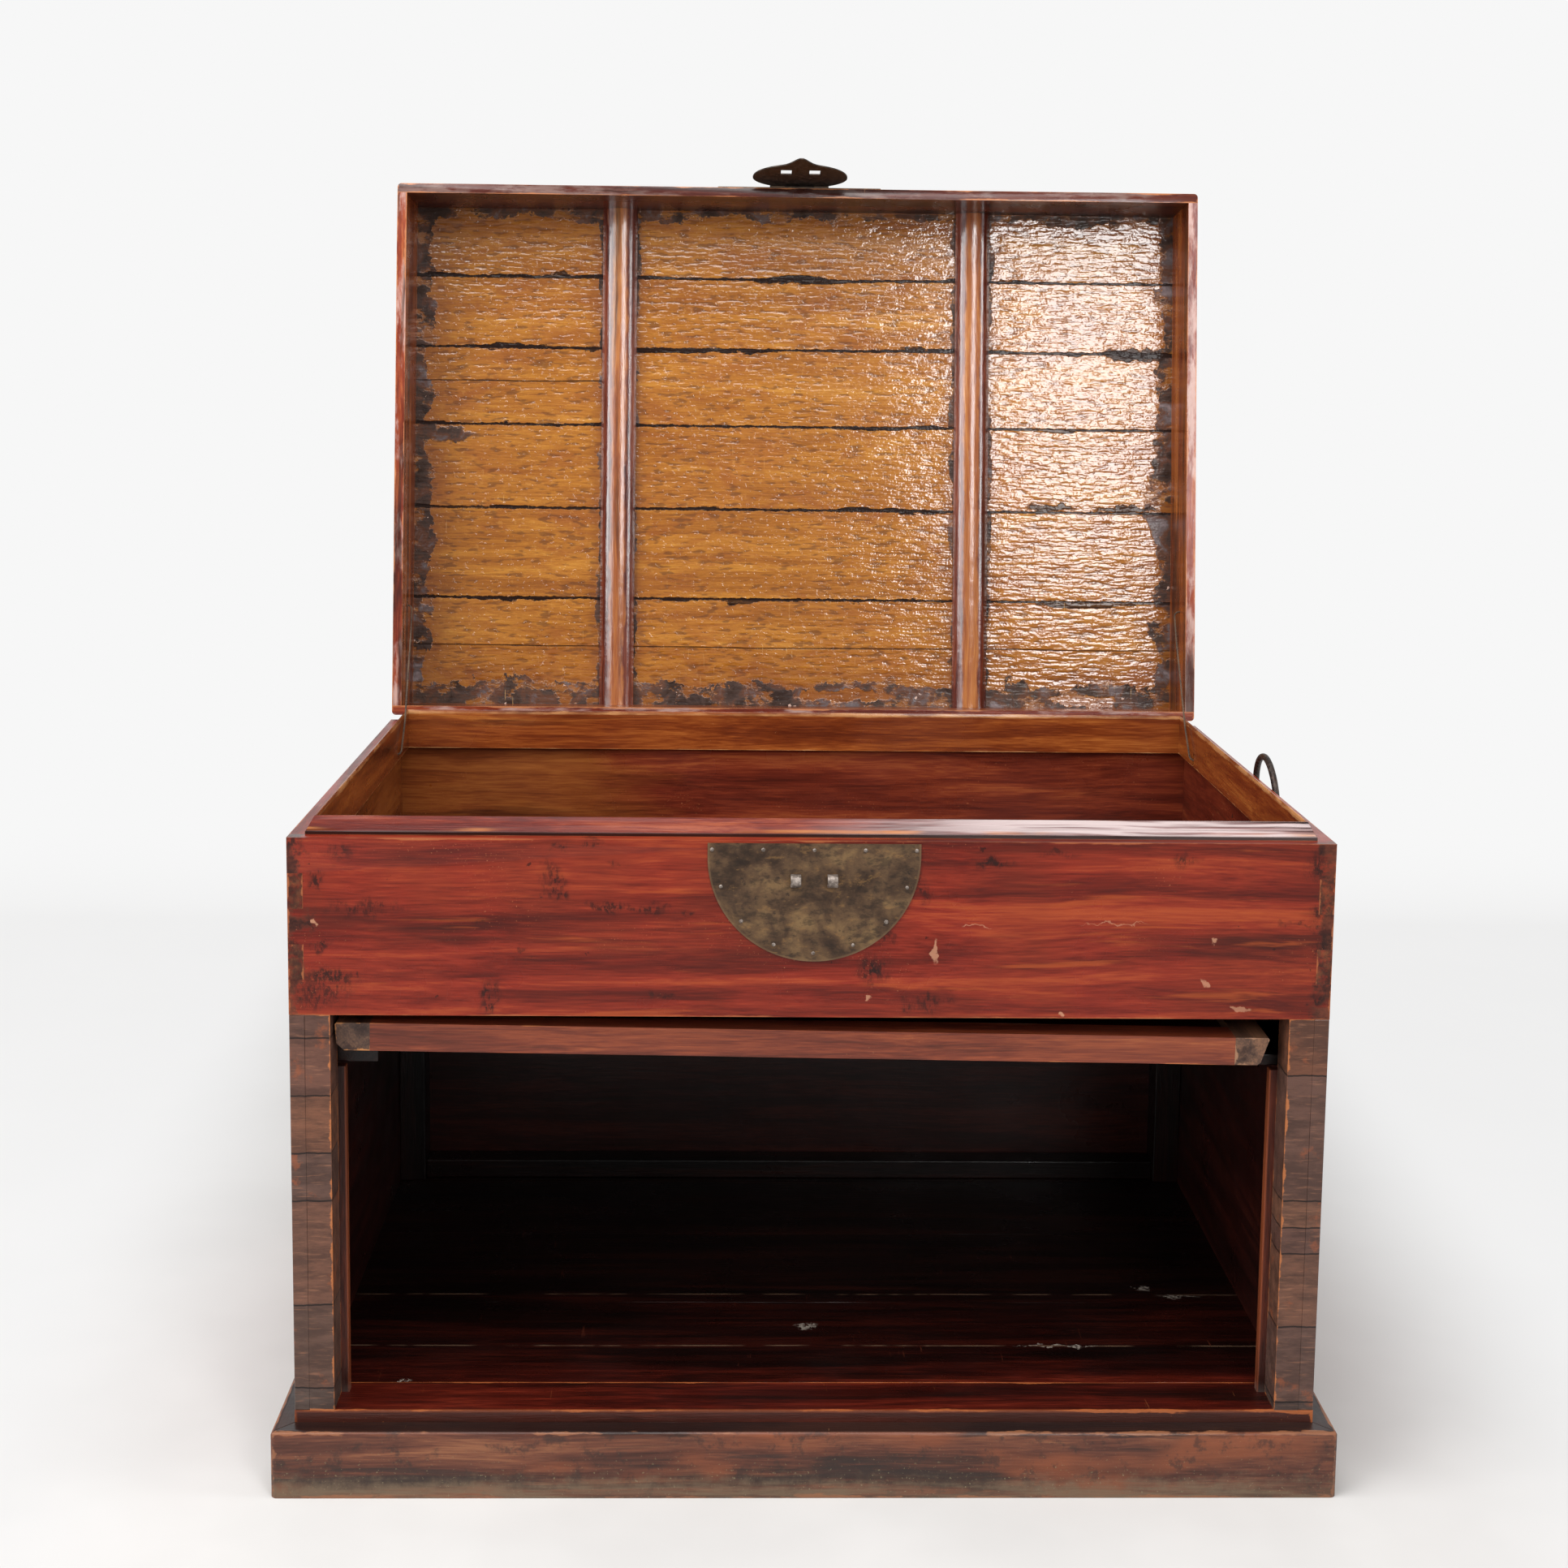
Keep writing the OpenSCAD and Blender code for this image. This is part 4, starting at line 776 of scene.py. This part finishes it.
dress("lip_front", front_lip_finish(), 0.0008, 0.0003, sloped_top)
lip_back_finish = amber_finish("lip_back", "x", 22.0, warm_stops, 0.002)
dress("lip_back", lip_back_finish, 0.0008, reshape=sloped_top)
for side, seed in (("left", 23.0), ("right", 24.0)):
    name = "lip_" + side
    finish = amber_finish(name, "y", seed, warm_stops, 0.003)
    dress(name, finish, 0.0008, reshape=sloped_top)

# Front panel
# The panel that closes the lower compartment lies stowed on two runners under the upper one. Its front
# edge shows: a red-brown rail between the bevelled ends of two stiles.
runner_wood = inside_finish("runners", "y", 25.0, near_black)
dress("runner_left", runner_wood)
dress("runner_right", runner_wood)


def panel_finish(name, grain, seed, stops, bare="#b56c3c"):
    f = Wood(name + "_wood", grain, seed=seed)
    tint = f.tone(stops)
    tint = f.stained(tint, 16, 0.52, 0.66, "#24100b", 0.75)
    tint = f.worn(tint, f.edges(*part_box(name)), 0.005, bare, 0.8)
    tint = f.scratched(tint, 450, "#a8704a", 0.5)
    return f.done(tint, f.gloss(0.28, 0.45), f.bump(f.relief(0.5, 0.6, 30), 0.0006), coat=0.1, specular=0.35)


rail_stops = [(0, "#4a1f14"), (0.4, "#6e3120"), (0.75, "#8b4429"), (1, "#a65f38")]
end_stops = [(0, "#3a2a23"), (0.5, "#5f4435"), (1, "#8a6248")]
dress("panel_rail_front", panel_finish("panel_rail_front", "x", 26.0, rail_stops), 0.002, 0.0003)
dress("panel_rail_rear", panel_finish("panel_rail_rear", "x", 27.0, rail_stops), 0.002)
dress("panel_stile_left", panel_finish("panel_stile_left", "y", 28.0, end_stops, "#c08048"))
dress("panel_stile_right", panel_finish("panel_stile_right", "y", 29.0, end_stops, "#a57a5c"))
dress("panel_planks", panel_finish("panel_planks", "x", 30.0, ember_reds), 0.001)

# Lock plate
# A half-round brass plate, brown with age and patched with soot, nailed under the rim. Two iron staples
# come through it.
plate_low, plate_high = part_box("lock_plate")
plate_straight = 0.016
plate_centre = Vector((0, plate_low.y, plate_high.z - plate_straight))
plate_reach = plate_high.x


def plate_finish(name, seed, lid=False, centre=plate_centre):
    f = Wood(name, "x", lid, seed)
    patch = f.noise(f.seeded, 26, 6, 0.62, 0.4)
    tint = f.ramp(patch, [(0.32, "#2f2118"), (0.45, "#493525"), (0.56, "#5f4730"), (0.68, "#7a5f3e")])
    mottle = f.noise(f.stretched(f.seeded, (0.5, 1, 1)), 130, 5, 0.7)
    tint = f.mix(f.band(mottle, 0.48, 0.64, 0, 0.6), tint, "#241b14")
    tint = f.mix(f.band(mottle, 0.32, 0.44, 0.5, 0.0), tint, "#86643c")
    soot = f.band(f.noise(f.vector("ADD", f.seeded, (3, 3, 3)), 42, 5, 0.7), 0.60, 0.68, 0, 0.75)
    tint = f.mix(soot, tint, "#1d1511")
    tint = f.scratched(tint, 600, "#a08662", 0.5)
    tint = f.scratched(tint, 450, "#8e7350", 0.5, -0.9)
    off = f.vector("LENGTH", f.vector("SUBTRACT", f.place, centre), out=1)
    tint = f.mix(f.band(off, plate_reach - 0.003, plate_reach - 0.001, 0, 0.4), tint, "#7d6044")
    height = f.plus(f.times(patch, 0.8), f.times(soot, 0.3))
    return f.done(tint, f.band(patch, 0.35, 0.65, 0.38, 0.58), f.bump(height, 0.0005), metal=0.45)


def iron_finish(name, tint="#2b2523", light="#574b44"):
    f = Finish(name)
    grain = f.noise(f.place, 180, 5, 0.65)
    rust = f.band(f.noise(f.place, 40, 4), 0.55, 0.7, 0, 0.5)
    shade = f.mix(rust, f.mix(f.band(grain, 0.4, 0.7), tint, light), "#4a2f20")
    return f.done(shade, f.band(grain, 0.3, 0.7, 0.38, 0.6), f.bump(grain, 0.0003), metal=0.7)


iron = iron_finish("forged iron")
rubbed_iron = iron_finish("rubbed iron", "#655b54", "#a89c93")
dress("lock_plate", plate_finish("lock plate brass", 31.0), 0.0004)
dress("staples", rubbed_iron, 0.0005)

# Nails
# Small iron nails with domed heads hold the plates and the rear leaves. Each was forged by hand, so the
# heads differ a little in size and height.
to_hinge = Matrix.Translation(hinge_line)
open_lid = to_hinge @ Matrix.Rotation(-lid_lean, 4, "X") @ to_hinge.inverted()
nail_head_h = 0.0013


def nail_seats(name, turn):
    """(place, outward direction) under the head of each nail in a CAD node; turn opens the lid."""
    bm = bmesh.new()
    bm.from_mesh(frame["nodes"][name].data)
    bmesh.ops.remove_doubles(bm, verts=bm.verts, dist=1e-5)
    left = set(bm.verts)
    seats = []
    while left:
        found, edge = set(), [left.pop()]
        while edge:
            v = edge.pop()
            found.add(v)
            near = {e.other_vert(v) for e in v.link_edges} & left
            left -= near
            edge.extend(near)
        middle = turn.inverted() @ (sum((v.co for v in found), Vector()) / len(found))
        outward = (turn.to_3x3() @ Vector((0, -1 if middle.y < 0 else 1, 0))).normalized()
        top = max((v.co for v in found), key=lambda p: p.dot(outward))
        seats.append((top - outward * nail_head_h, outward))
    bm.free()
    return seats


def nail_tree(material):
    """A domed head, a little different each time, on every seat."""
    tree = bpy.data.node_groups.new("forged nails", "GeometryNodeTree")
    k = Knots(tree)
    group_socket(tree, "Seats", "NodeSocketGeometry")
    ids = {
        "radius": group_socket(tree, "Head radius", "NodeSocketFloat", 0.0026),
        "height": group_socket(tree, "Head height", "NodeSocketFloat", nail_head_h),
        "seed": group_socket(tree, "Seed", "NodeSocketInt", 7),
    }
    group_socket(tree, "Nails", "NodeSocketGeometry", output=True)
    given = tree.nodes.new("NodeGroupInput").outputs
    ball = k.add("GeometryNodeMeshUVSphere", {"Segments": 14, "Rings": 8, "Radius": 1.0})
    size = k.add("ShaderNodeCombineXYZ", {0: given["Head radius"], 1: given["Head radius"], 2: given["Head height"]})
    head = k.add("GeometryNodeTransform", {"Geometry": ball, "Scale": size})
    outward = k.add("GeometryNodeInputNamedAttribute", {"Name": "outward"}, data_type="FLOAT_VECTOR")
    turned = k.add("FunctionNodeAlignRotationToVector", {"Vector": outward}, axis="Z")
    vary = tree.nodes.new("FunctionNodeRandomValue")
    vary.data_type = "FLOAT"
    for socket in vary.inputs:
        if socket.type == "VALUE":
            socket.default_value = {"Min": 0.84, "Max": 1.0}.get(socket.name, 0.0)
        if socket.name == "Seed":
            tree.links.new(given["Seed"], socket)
    factor = next(socket for socket in vary.outputs if socket.type == "VALUE")
    spread = {"Points": given["Seats"], "Instance": head, "Rotation": turned, "Scale": factor}
    placed = k.add("GeometryNodeInstanceOnPoints", spread)
    real = k.add("GeometryNodeRealizeInstances", {"Geometry": placed})
    smooth = k.add("GeometryNodeSetShadeSmooth", {"Geometry": real})
    painted = k.add("GeometryNodeSetMaterial", {"Geometry": smooth, "Material": material})
    out = tree.nodes.new("NodeGroupOutput")
    tree.links.new(painted, out.inputs["Nails"])
    return tree, ids


nails, nail_ids = nail_tree(rubbed_iron)
for name, body, turn, seed in (("carcass_nails", "carcass", Matrix(), 7), ("lid_nails", "lid", open_lid, 11)):
    seats = nail_seats(name, turn)
    cloud = bpy.data.meshes.new(name)
    cloud.from_pydata([tuple(at) for at, _ in seats], [], [])
    facing = cloud.attributes.new("outward", "FLOAT_VECTOR", "POINT")
    facing.data.foreach_set("vector", [c for _, outward in seats for c in outward])
    holder = bpy.data.objects.new("seats", cloud)
    bpy.context.scene.collection.objects.link(holder)
    forged = holder.modifiers.new("nails", "NODES")
    forged.node_group = nails
    forged[nail_ids["radius"]] = 0.0026
    forged[nail_ids["height"]] = nail_head_h
    forged[nail_ids["seed"]] = seed
    made = evaluated_copy(holder, name + "_forged")
    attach(made, body)
    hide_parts(name)

# Handles
# An iron bail hangs on each side from two eyes, which are driven through small brass roses.


def polish(name, finish, sharp=40):
    """Replaces a round CAD node by a merged and smoothly shaded copy."""
    piece = worn_copy(name)
    piece.data.shade_smooth()
    piece.data.set_sharp_from_angle(angle=math.radians(sharp))
    settle(piece, name, finish)


def rose_finish():
    f = Finish("rose brass")
    patch = f.noise(f.place, 90, 5, 0.6)
    tint = f.ramp(patch, [(0.35, "#3d2f22"), (0.5, "#6b5538"), (0.68, "#97794f")])
    return f.done(tint, f.band(patch, 0.35, 0.65, 0.3, 0.5), f.bump(patch, 0.0004), metal=0.7)


for side in ("left", "right"):
    polish("bail_" + side, iron)
polish("handle_eyes", iron)
polish("handle_roses", rose_finish())

# Rear hinges
# Two iron butt hinges at the back carry the lid. Their knuckles alternate between carcass and lid.
for name in ("hinge_leaves_carcass", "hinge_leaves_lid", "hinge_pins"):
    polish(name, iron)

# Lid rails
# Four rails make the rim of the lid. They are red-brown outside and along the edge, and rubbed pale at the
# arrises. Their faces that look into the lid are more orange, except on the front rail, which faces down
# when the lid is open and is given a darker tone there as painted shade.
lid_front, lid_back = front_y, front_y + 0.8
rail_bottom, rail_top, plank_top = 0.7873, 0.9073, 0.9203
rail_t = 0.014


def lid_rail_finish(name, grain, low, high, seed, inner, grime):
    f = Wood(name, grain, lid=True, seed=seed)
    x, y, z = f.split.outputs
    tint = f.tone([(0, "#4a150d"), (0.4, "#6c2414"), (0.75, "#8a3c20"), (1, "#a65c30")])
    side = f.less(inner_side + 0.004, f.size(x))
    depth = f.least(f.less(y, lid_front + rail_t), f.less(lid_back - rail_t, y))
    inward = f.band(f.least(side, depth), -0.0006, -0.0002)
    tint = f.mix(inward, tint, f.tone(inner))
    rim = f.band(z, rail_bottom + 0.0006, rail_bottom + 0.0014, 1.0, 0.0)
    scuffs = f.band(f.noise(f.stretched(f.lengthwise, (0.8, 0.8, 0.8)), 55, 5, 0.65), 0.48, 0.64, 0, 0.75)
    tint = f.mix(f.times(rim, scuffs), tint, "#bf9f95")
    tint = f.mix(f.times(rim, grime), tint, "#2c120d")
    tint = f.stained(tint, 16, 0.50, 0.62, "#1d0d09", 0.8)
    tint = f.worn(tint, f.edges(low, high), 0.004, "#b5744a", 0.8)
    tint = f.scratched(tint, 450, "#b98560", 0.5)
    return f.done(tint, f.gloss(0.2, 0.36), f.bump(f.relief(0.3, 0.7, 28), 0.0006), coat=0.2, specular=0.35)


# The front rail's inner tone is painted shade: that face looks down when the lid is open.
painted_shade_inner = [(0, "#35150d"), (0.5, "#56281a"), (1, "#743a24")]
brown_inner = [(0, "#52200f"), (0.4, "#783615"), (0.75, "#985122"), (1, "#b06c33")]
for name, y0, y1, seed, inner, grime in (
    ("lid_rail_front", lid_front, lid_front + rail_t, 32.0, painted_shade_inner, 0.65),
    ("lid_rail_rear", lid_back - rail_t, lid_back, 33.0, brown_inner, 0.2),
):
    low, high = (-outer_side, y0, rail_bottom), (outer_side, y1, rail_top)
    finish = lid_rail_finish(name + "_wood", "x", low, high, seed, inner, grime)
    dress(name, finish, 0.0012, 0.0003)
for side, label, seed in ((-1, "left", 34.0), (1, "right", 35.0)):
    near, far = sorted((side * outer_side, side * (outer_side - rail_t)))
    low, high = (near, lid_front, rail_bottom), (far, lid_back, rail_top)
    name = "lid_rail_" + label
    finish = lid_rail_finish(name + "_wood", "y", low, high, seed, brown_inner, 0.0)
    dress(name, finish, 0.0012, 0.0003)

# Lid boards
# Six boards run along the lid. Inside they kept a golden varnish, and old paste and paper left a ragged
# dark crust round each of the three bays between the battens.
board_shares = [36, 28, 26, 24, 22, 24]
bay_edge, batten_x, batten_half = outer_side - rail_t, 0.275, 0.0265
crust_reach = {"side": 0.017, "batten": 0.000, "front": 0.005, "hinge": 0.030}
crust_tongues = [((-0.550, 0.433), (0.050, 0.012)), ((0.540, 0.570), (0.060, 0.010)), ((0.575, 0.330), (0.025, 0.05))]
golden_islands = [((0.079, 0.031), (0.068, 0.010)), ((0.454, 0.025), (0.050, 0.009)), ((0.520, 0.165), (0.062, 0.016))]
board_slots = [((0.399, 0.327), (0.040, 0.0055)), ((0.524, 0.326), (0.050, 0.0050)), ((-0.372, 0.684), (0.012, 0.005))]
board_cracks = [(0.517, -0.6, -0.25), (0.105, -0.6, 0.6)]


def lid_place(spot):
    """A place on the boards, from its distance from the middle and from the hinge side."""
    across, up_from_hinge = spot
    return (across, lid_back - up_from_hinge, rail_top)


def lid_board_finish(name, low, high, seed):
    f = Wood(name, "x", lid=True, seed=seed)
    x, y, z = f.split.outputs
    tint = f.tone([(0, "#7f4710"), (0.35, "#925716"), (0.7, "#a4681f"), (1, "#b57c2d")], 0.45)
    blotches = f.noise(f.stretched(f.seeded, (0.55, 1, 1)), 16, 5, 0.62, 1.0)
    tint = f.mix(f.band(blotches, 0.50, 0.68, 0, 0.6), tint, "#814415")
    tint = f.mix(f.band(f.cloud, 0.48, 0.75, 0, 0.35), tint, "#9a5518")
    tint = f.mix(f.band(f.noise(f.seeded, 110, 4, 0.7), 0.55, 0.72, 0, 0.3), tint, "#c8914a")
    ripples = f.noise(f.stretched(f.seeded, (0.25, 1, 1)), 170, 1.5, 0.5)
    tint = f.mix(f.band(ripples, 0.34, 0.45, 0.55, 0.0), tint, "#4f2a12")
    inside = f.band(z, rail_top + 0.0008, rail_top + 0.0016, 1.0, 0.0)

    side = f.size(x)
    to_side = f.less(bay_edge - crust_reach["side"], side)
    off_batten = f.size(f.less(side, batten_x))
    to_batten = f.times(f.less(off_batten, batten_half + crust_reach["batten"]), 2.0)
    to_front = f.less(y, lid_front + rail_t + crust_reach["front"])
    to_hinge_side = f.less(lid_back - rail_t - crust_reach["hinge"], y)
    to_bay = f.least(f.least(to_side, to_batten), f.least(to_front, to_hinge_side))
    lumps = f.band(f.noise(f.seeded, 11, 5, 0.65, 0.3), 0.32, 0.70, -0.006, 0.020)
    frayed = f.times(f.less(f.noise(f.seeded, 80, 6, 0.7), 0.5), 0.022)
    crust = f.band(f.less(f.plus(to_bay, frayed), lumps), -0.0015, 0.0008, 1.0, 0.0)
    for at, half in crust_tongues:
        crust = f.math("MAXIMUM", crust, f.spot(lid_place(at), (*half, 0), 1.0, 0.9))
    for at, half in golden_islands:
        crust = f.times(crust, f.less(1.0, f.spot(lid_place(at), (*half, 0), 1.0, 0.95)))
    flaked = f.band(f.noise(f.stretched(f.seeded, (0.7, 1, 1)), 34, 5, 0.65), 0.40, 0.48, 0.35, 1.0)
    crust = f.times(f.times(crust, flaked), inside)
    soil = [(0.34, "#1f1919"), (0.46, "#3a302e"), (0.54, "#533529"), (0.62, "#585153"), (0.72, "#7d7072")]
    tint = f.mix(f.times(crust, 0.95), tint, f.ramp(f.noise(f.seeded, 26, 5, 0.6, 0.5), soil))

    halo = f.band(f.less(to_bay, lumps), 0.0, 0.04, 0.4, 0.0)
    blotch = f.times(f.times(halo, inside), f.less(1.0, crust))
    tint = f.mix(blotch, tint, "#6b3414")
    chips = f.band(f.noise(f.seeded, 60, 4, 0.6), 0.69, 0.71)
    chips = f.times(f.times(chips, f.band(f.less(to_bay, lumps), -0.012, 0.008, 0.9, 0.0)), inside)
    tint = f.mix(chips, tint, "#bfa294")

    wander = f.times(f.less(f.noise(f.along, 60, 3), 0.5), 0.004)
    to_joint = f.edges(low, high)
    torn = f.times(f.band(f.noise(f.lengthwise, 26, 4, 0.6), 0.52, 0.74), 0.008)
    joint = f.band(f.less(f.plus(to_joint, f.times(frayed, 0.36)), torn), 0.0012, 0.0024, 1.0, 0.0)
    broken = f.band(f.noise(f.along, 30, 3), 0.25, 0.42, 0.6, 1.0)
    seam = f.times(f.times(joint, broken), inside)
    for up_from_hinge, start, stop in board_cracks:
        off = f.size(f.plus(f.less(y, lid_back - up_from_hinge), f.times(wander, 2.0)))
        within = f.times(f.band(x, start, start + 0.02), f.band(x, stop - 0.02, stop, 1, 0))
        crack = f.times(f.band(off, 0.0004, 0.0011, 0.85, 0.0), f.times(within, broken))
        seam = f.math("MAXIMUM", seam, f.times(crack, inside))
    for at, half in board_slots:
        seam = f.math("MAXIMUM", seam, f.times(f.spot(lid_place(at), (*half, 0), 0.9, 0.8), inside))
    tint = f.mix(seam, tint, "#1d0d07")
    tint = f.scratched(tint, 420, "#dbae70", 0.5)
    tint = f.mix(inside, f.tone(lacquer_stops), tint)

    pimples = f.band(f.noise(f.seeded, 150, 2), 0.60, 0.72)
    pits = f.noise(f.seeded, 260, 1, 0.5)
    height = f.plus(f.times(f.figure, 0.6), f.times(f.noise(f.seeded, 14, 4), 1.2))
    height = f.plus(height, f.plus(f.times(ripples, 1.15), f.times(pimples, 0.25)))
    height = f.plus(height, f.plus(f.times(f.fibre, 0.06), f.times(pits, 0.22)))
    height = f.less(f.plus(height, f.times(crust, 0.6)), f.times(seam, 1.2))
    rough = f.plus(f.gloss(0.22, 0.34), f.times(crust, 0.25))
    varnish = f.less(1.0, f.times(f.math("MAXIMUM", crust, seam), 0.85))
    return f.done(tint, rough, f.bump(height, 0.0010), varnish, 0.05, specular=0.12, coat_ior=1.64)


board_back = lid_back
for i, share in enumerate(board_shares):
    board_front = board_back - (lid_back - lid_front) * share / sum(board_shares)
    low, high = (-outer_side, board_front, rail_top), (outer_side, board_back, plank_top)
    finish = lid_board_finish("lid board %d" % (i + 1), low, high, 40.0 + 3.7 * i)
    dress("lid_plank_%d" % (i + 1), finish, 0.0006, 0.0003)
    board_back = board_front

# Lid battens
# Two battens stiffen the lid across its boards. Each is planed to a flat back between two slopes, golden
# brown on the flat and dark red along the sides.


def batten_finish():
    f = Wood("lid battens", "y", lid=True, seed=71.0)
    off = f.size(f.less(f.size(f.split.outputs[0]), batten_x))
    flat = f.tone([(0, "#6b3216"), (0.4, "#8a4a22"), (0.75, "#a3632f"), (1, "#ba7c42")])
    slopes = f.tone([(0, "#32120c"), (0.4, "#501d13"), (0.75, "#6e3220"), (1, "#8a4a30")])
    rub = f.times(f.less(f.noise(f.seeded, 22, 5, 0.6), 0.5), 0.016)
    tint = f.mix(f.band(f.plus(off, rub), 0.009, 0.014), flat, slopes)
    tint = f.stained(tint, 18, 0.55, 0.68, "#1c0c09", 0.7)
    tint = f.scratched(tint, 380, "#c39a7c", 0.6)
    height = f.plus(f.relief(0.3, 1.2, 18), f.times(f.noise(f.along, 60, 3), 0.5))
    return f.done(tint, f.gloss(0.14, 0.26), f.bump(height, 0.0008), coat=1.0, coat_rough=0.12)


polish("lid_battens", batten_finish(), 60)

# Lid plate and hasp
# The lid carries the other half of the lock plate. A hasp of dark iron turns on a pin between its two
# knuckles, and two slots in it pass over the staples.
lid_plate_centre = Vector((0, lid_front, rail_bottom))
dress("lid_plate", plate_finish("lid plate brass", 72.0, True, lid_plate_centre), 0.0004)
polish("hasp_pin", iron)
dress("hasp", iron_finish("hasp iron", "#332b27", "#5a4d44"), 0.0005)

# Floor and light
# A pale sweep under and behind the chest, two soft lamps in front and above, a tall window far to the
# right, whose glare lies on the varnish inside the lid, and a narrow soft lamp at each side.


def sweep_finish():
    f = Finish("pale sweep")
    grain = f.noise(f.place, 3, 3)
    tint = f.mix(f.band(grain, 0.3, 0.7), "#cac8c6", "#d1cfcd")
    f.done(tint, 0.8, specular=0.1)
    glow = f.add("ShaderNodeEmission", {"Color": (1, 1, 1, 1), "Strength": 0.93})
    path = f.tree.nodes.new("ShaderNodeLightPath").outputs
    seen = f.math("MAXIMUM", path["Is Camera Ray"], path["Is Glossy Ray"])
    behind = f.band(f.add("ShaderNodeSeparateXYZ", {0: f.place}, out=1), 0.5, 2.6)
    sideways = f.size(f.add("ShaderNodeSeparateXYZ", {0: f.place}, out=0))
    beside = f.band(sideways, cad_box[1][0], cad_box[1][0] + 0.5, 0.0, 0.85)
    lit = f.times(seen, f.math("MAXIMUM", behind, beside))
    blend = f.add("ShaderNodeMixShader", {0: lit, 1: f.shader.outputs[0], 2: glow})
    f.tree.links.new(blend, f.tree.nodes["Material Output"].inputs[0])
    return f.material


sweep_half, sweep_near, sweep_far, sweep_r, sweep_top = 7.0, -5.0, 3.6, 1.6, 6.0
profile = [(sweep_near, 0.0), (0.0, 0.0), (sweep_far - sweep_r, 0.0)]
for i in range(1, 13):
    a = math.radians(i * 7.5)
    profile.append((sweep_far - sweep_r + sweep_r * math.sin(a), sweep_r - sweep_r * math.cos(a)))
profile.append((sweep_far, sweep_top))
corners = [(side * sweep_half, y, z) for y, z in profile for side in (-1, 1)]
faces = [(2 * i, 2 * i + 1, 2 * i + 3, 2 * i + 2) for i in range(len(profile) - 1)]
sweep_mesh = bpy.data.meshes.new("sweep")
sweep_mesh.from_pydata(corners, [], faces)
sweep_mesh.materials.append(sweep_finish())
sweep_mesh.shade_smooth()
sweep = bpy.data.objects.new("sweep", sweep_mesh)
bpy.context.scene.collection.objects.link(sweep)


def lamp(name, at, aim, width, height, power):
    light = bpy.data.lights.new(name, "AREA")
    light.shape = "RECTANGLE"
    light.size = width
    light.size_y = height
    light.energy = power
    made = bpy.data.objects.new(name, light)
    made.location = at
    made.rotation_euler = (Vector(aim) - Vector(at)).to_track_quat("-Z", "Y").to_euler()
    bpy.context.scene.collection.objects.link(made)


chest_middle = (0, -0.1, 0.8)
lid_middle = (0.3, 0.35, 1.25)
lamp("overhead", (-0.6, -1.4, 3.6), chest_middle, 3.0, 2.4, 115)
lamp("front fill", (-3.2, -2.9, 2.2), chest_middle, 2.2, 2.2, 74)
lamp("window", (1.09, -3.4, 2.32), lid_middle, 0.76, 1.36, 42)
lamp("left side", (-3.2, -1.0, 1.9), chest_middle, 0.7, 1.6, 34)
lamp("right side", (3.3, -1.0, 1.9), chest_middle, 0.7, 1.6, 34)

world = bpy.data.worlds.new("studio")
bpy.context.scene.world = world
world.use_nodes = True
background = world.node_tree.nodes["Background"]
background.inputs["Color"].default_value = (1, 1, 1, 1)
air = Knots(world.node_tree)
seen = air.add("ShaderNodeLightPath", out="Is Camera Ray")
air.set(background, "Strength", air.plus(0.3, air.times(seen, 0.63)))

bpy.context.scene.view_settings.view_transform = "Standard"
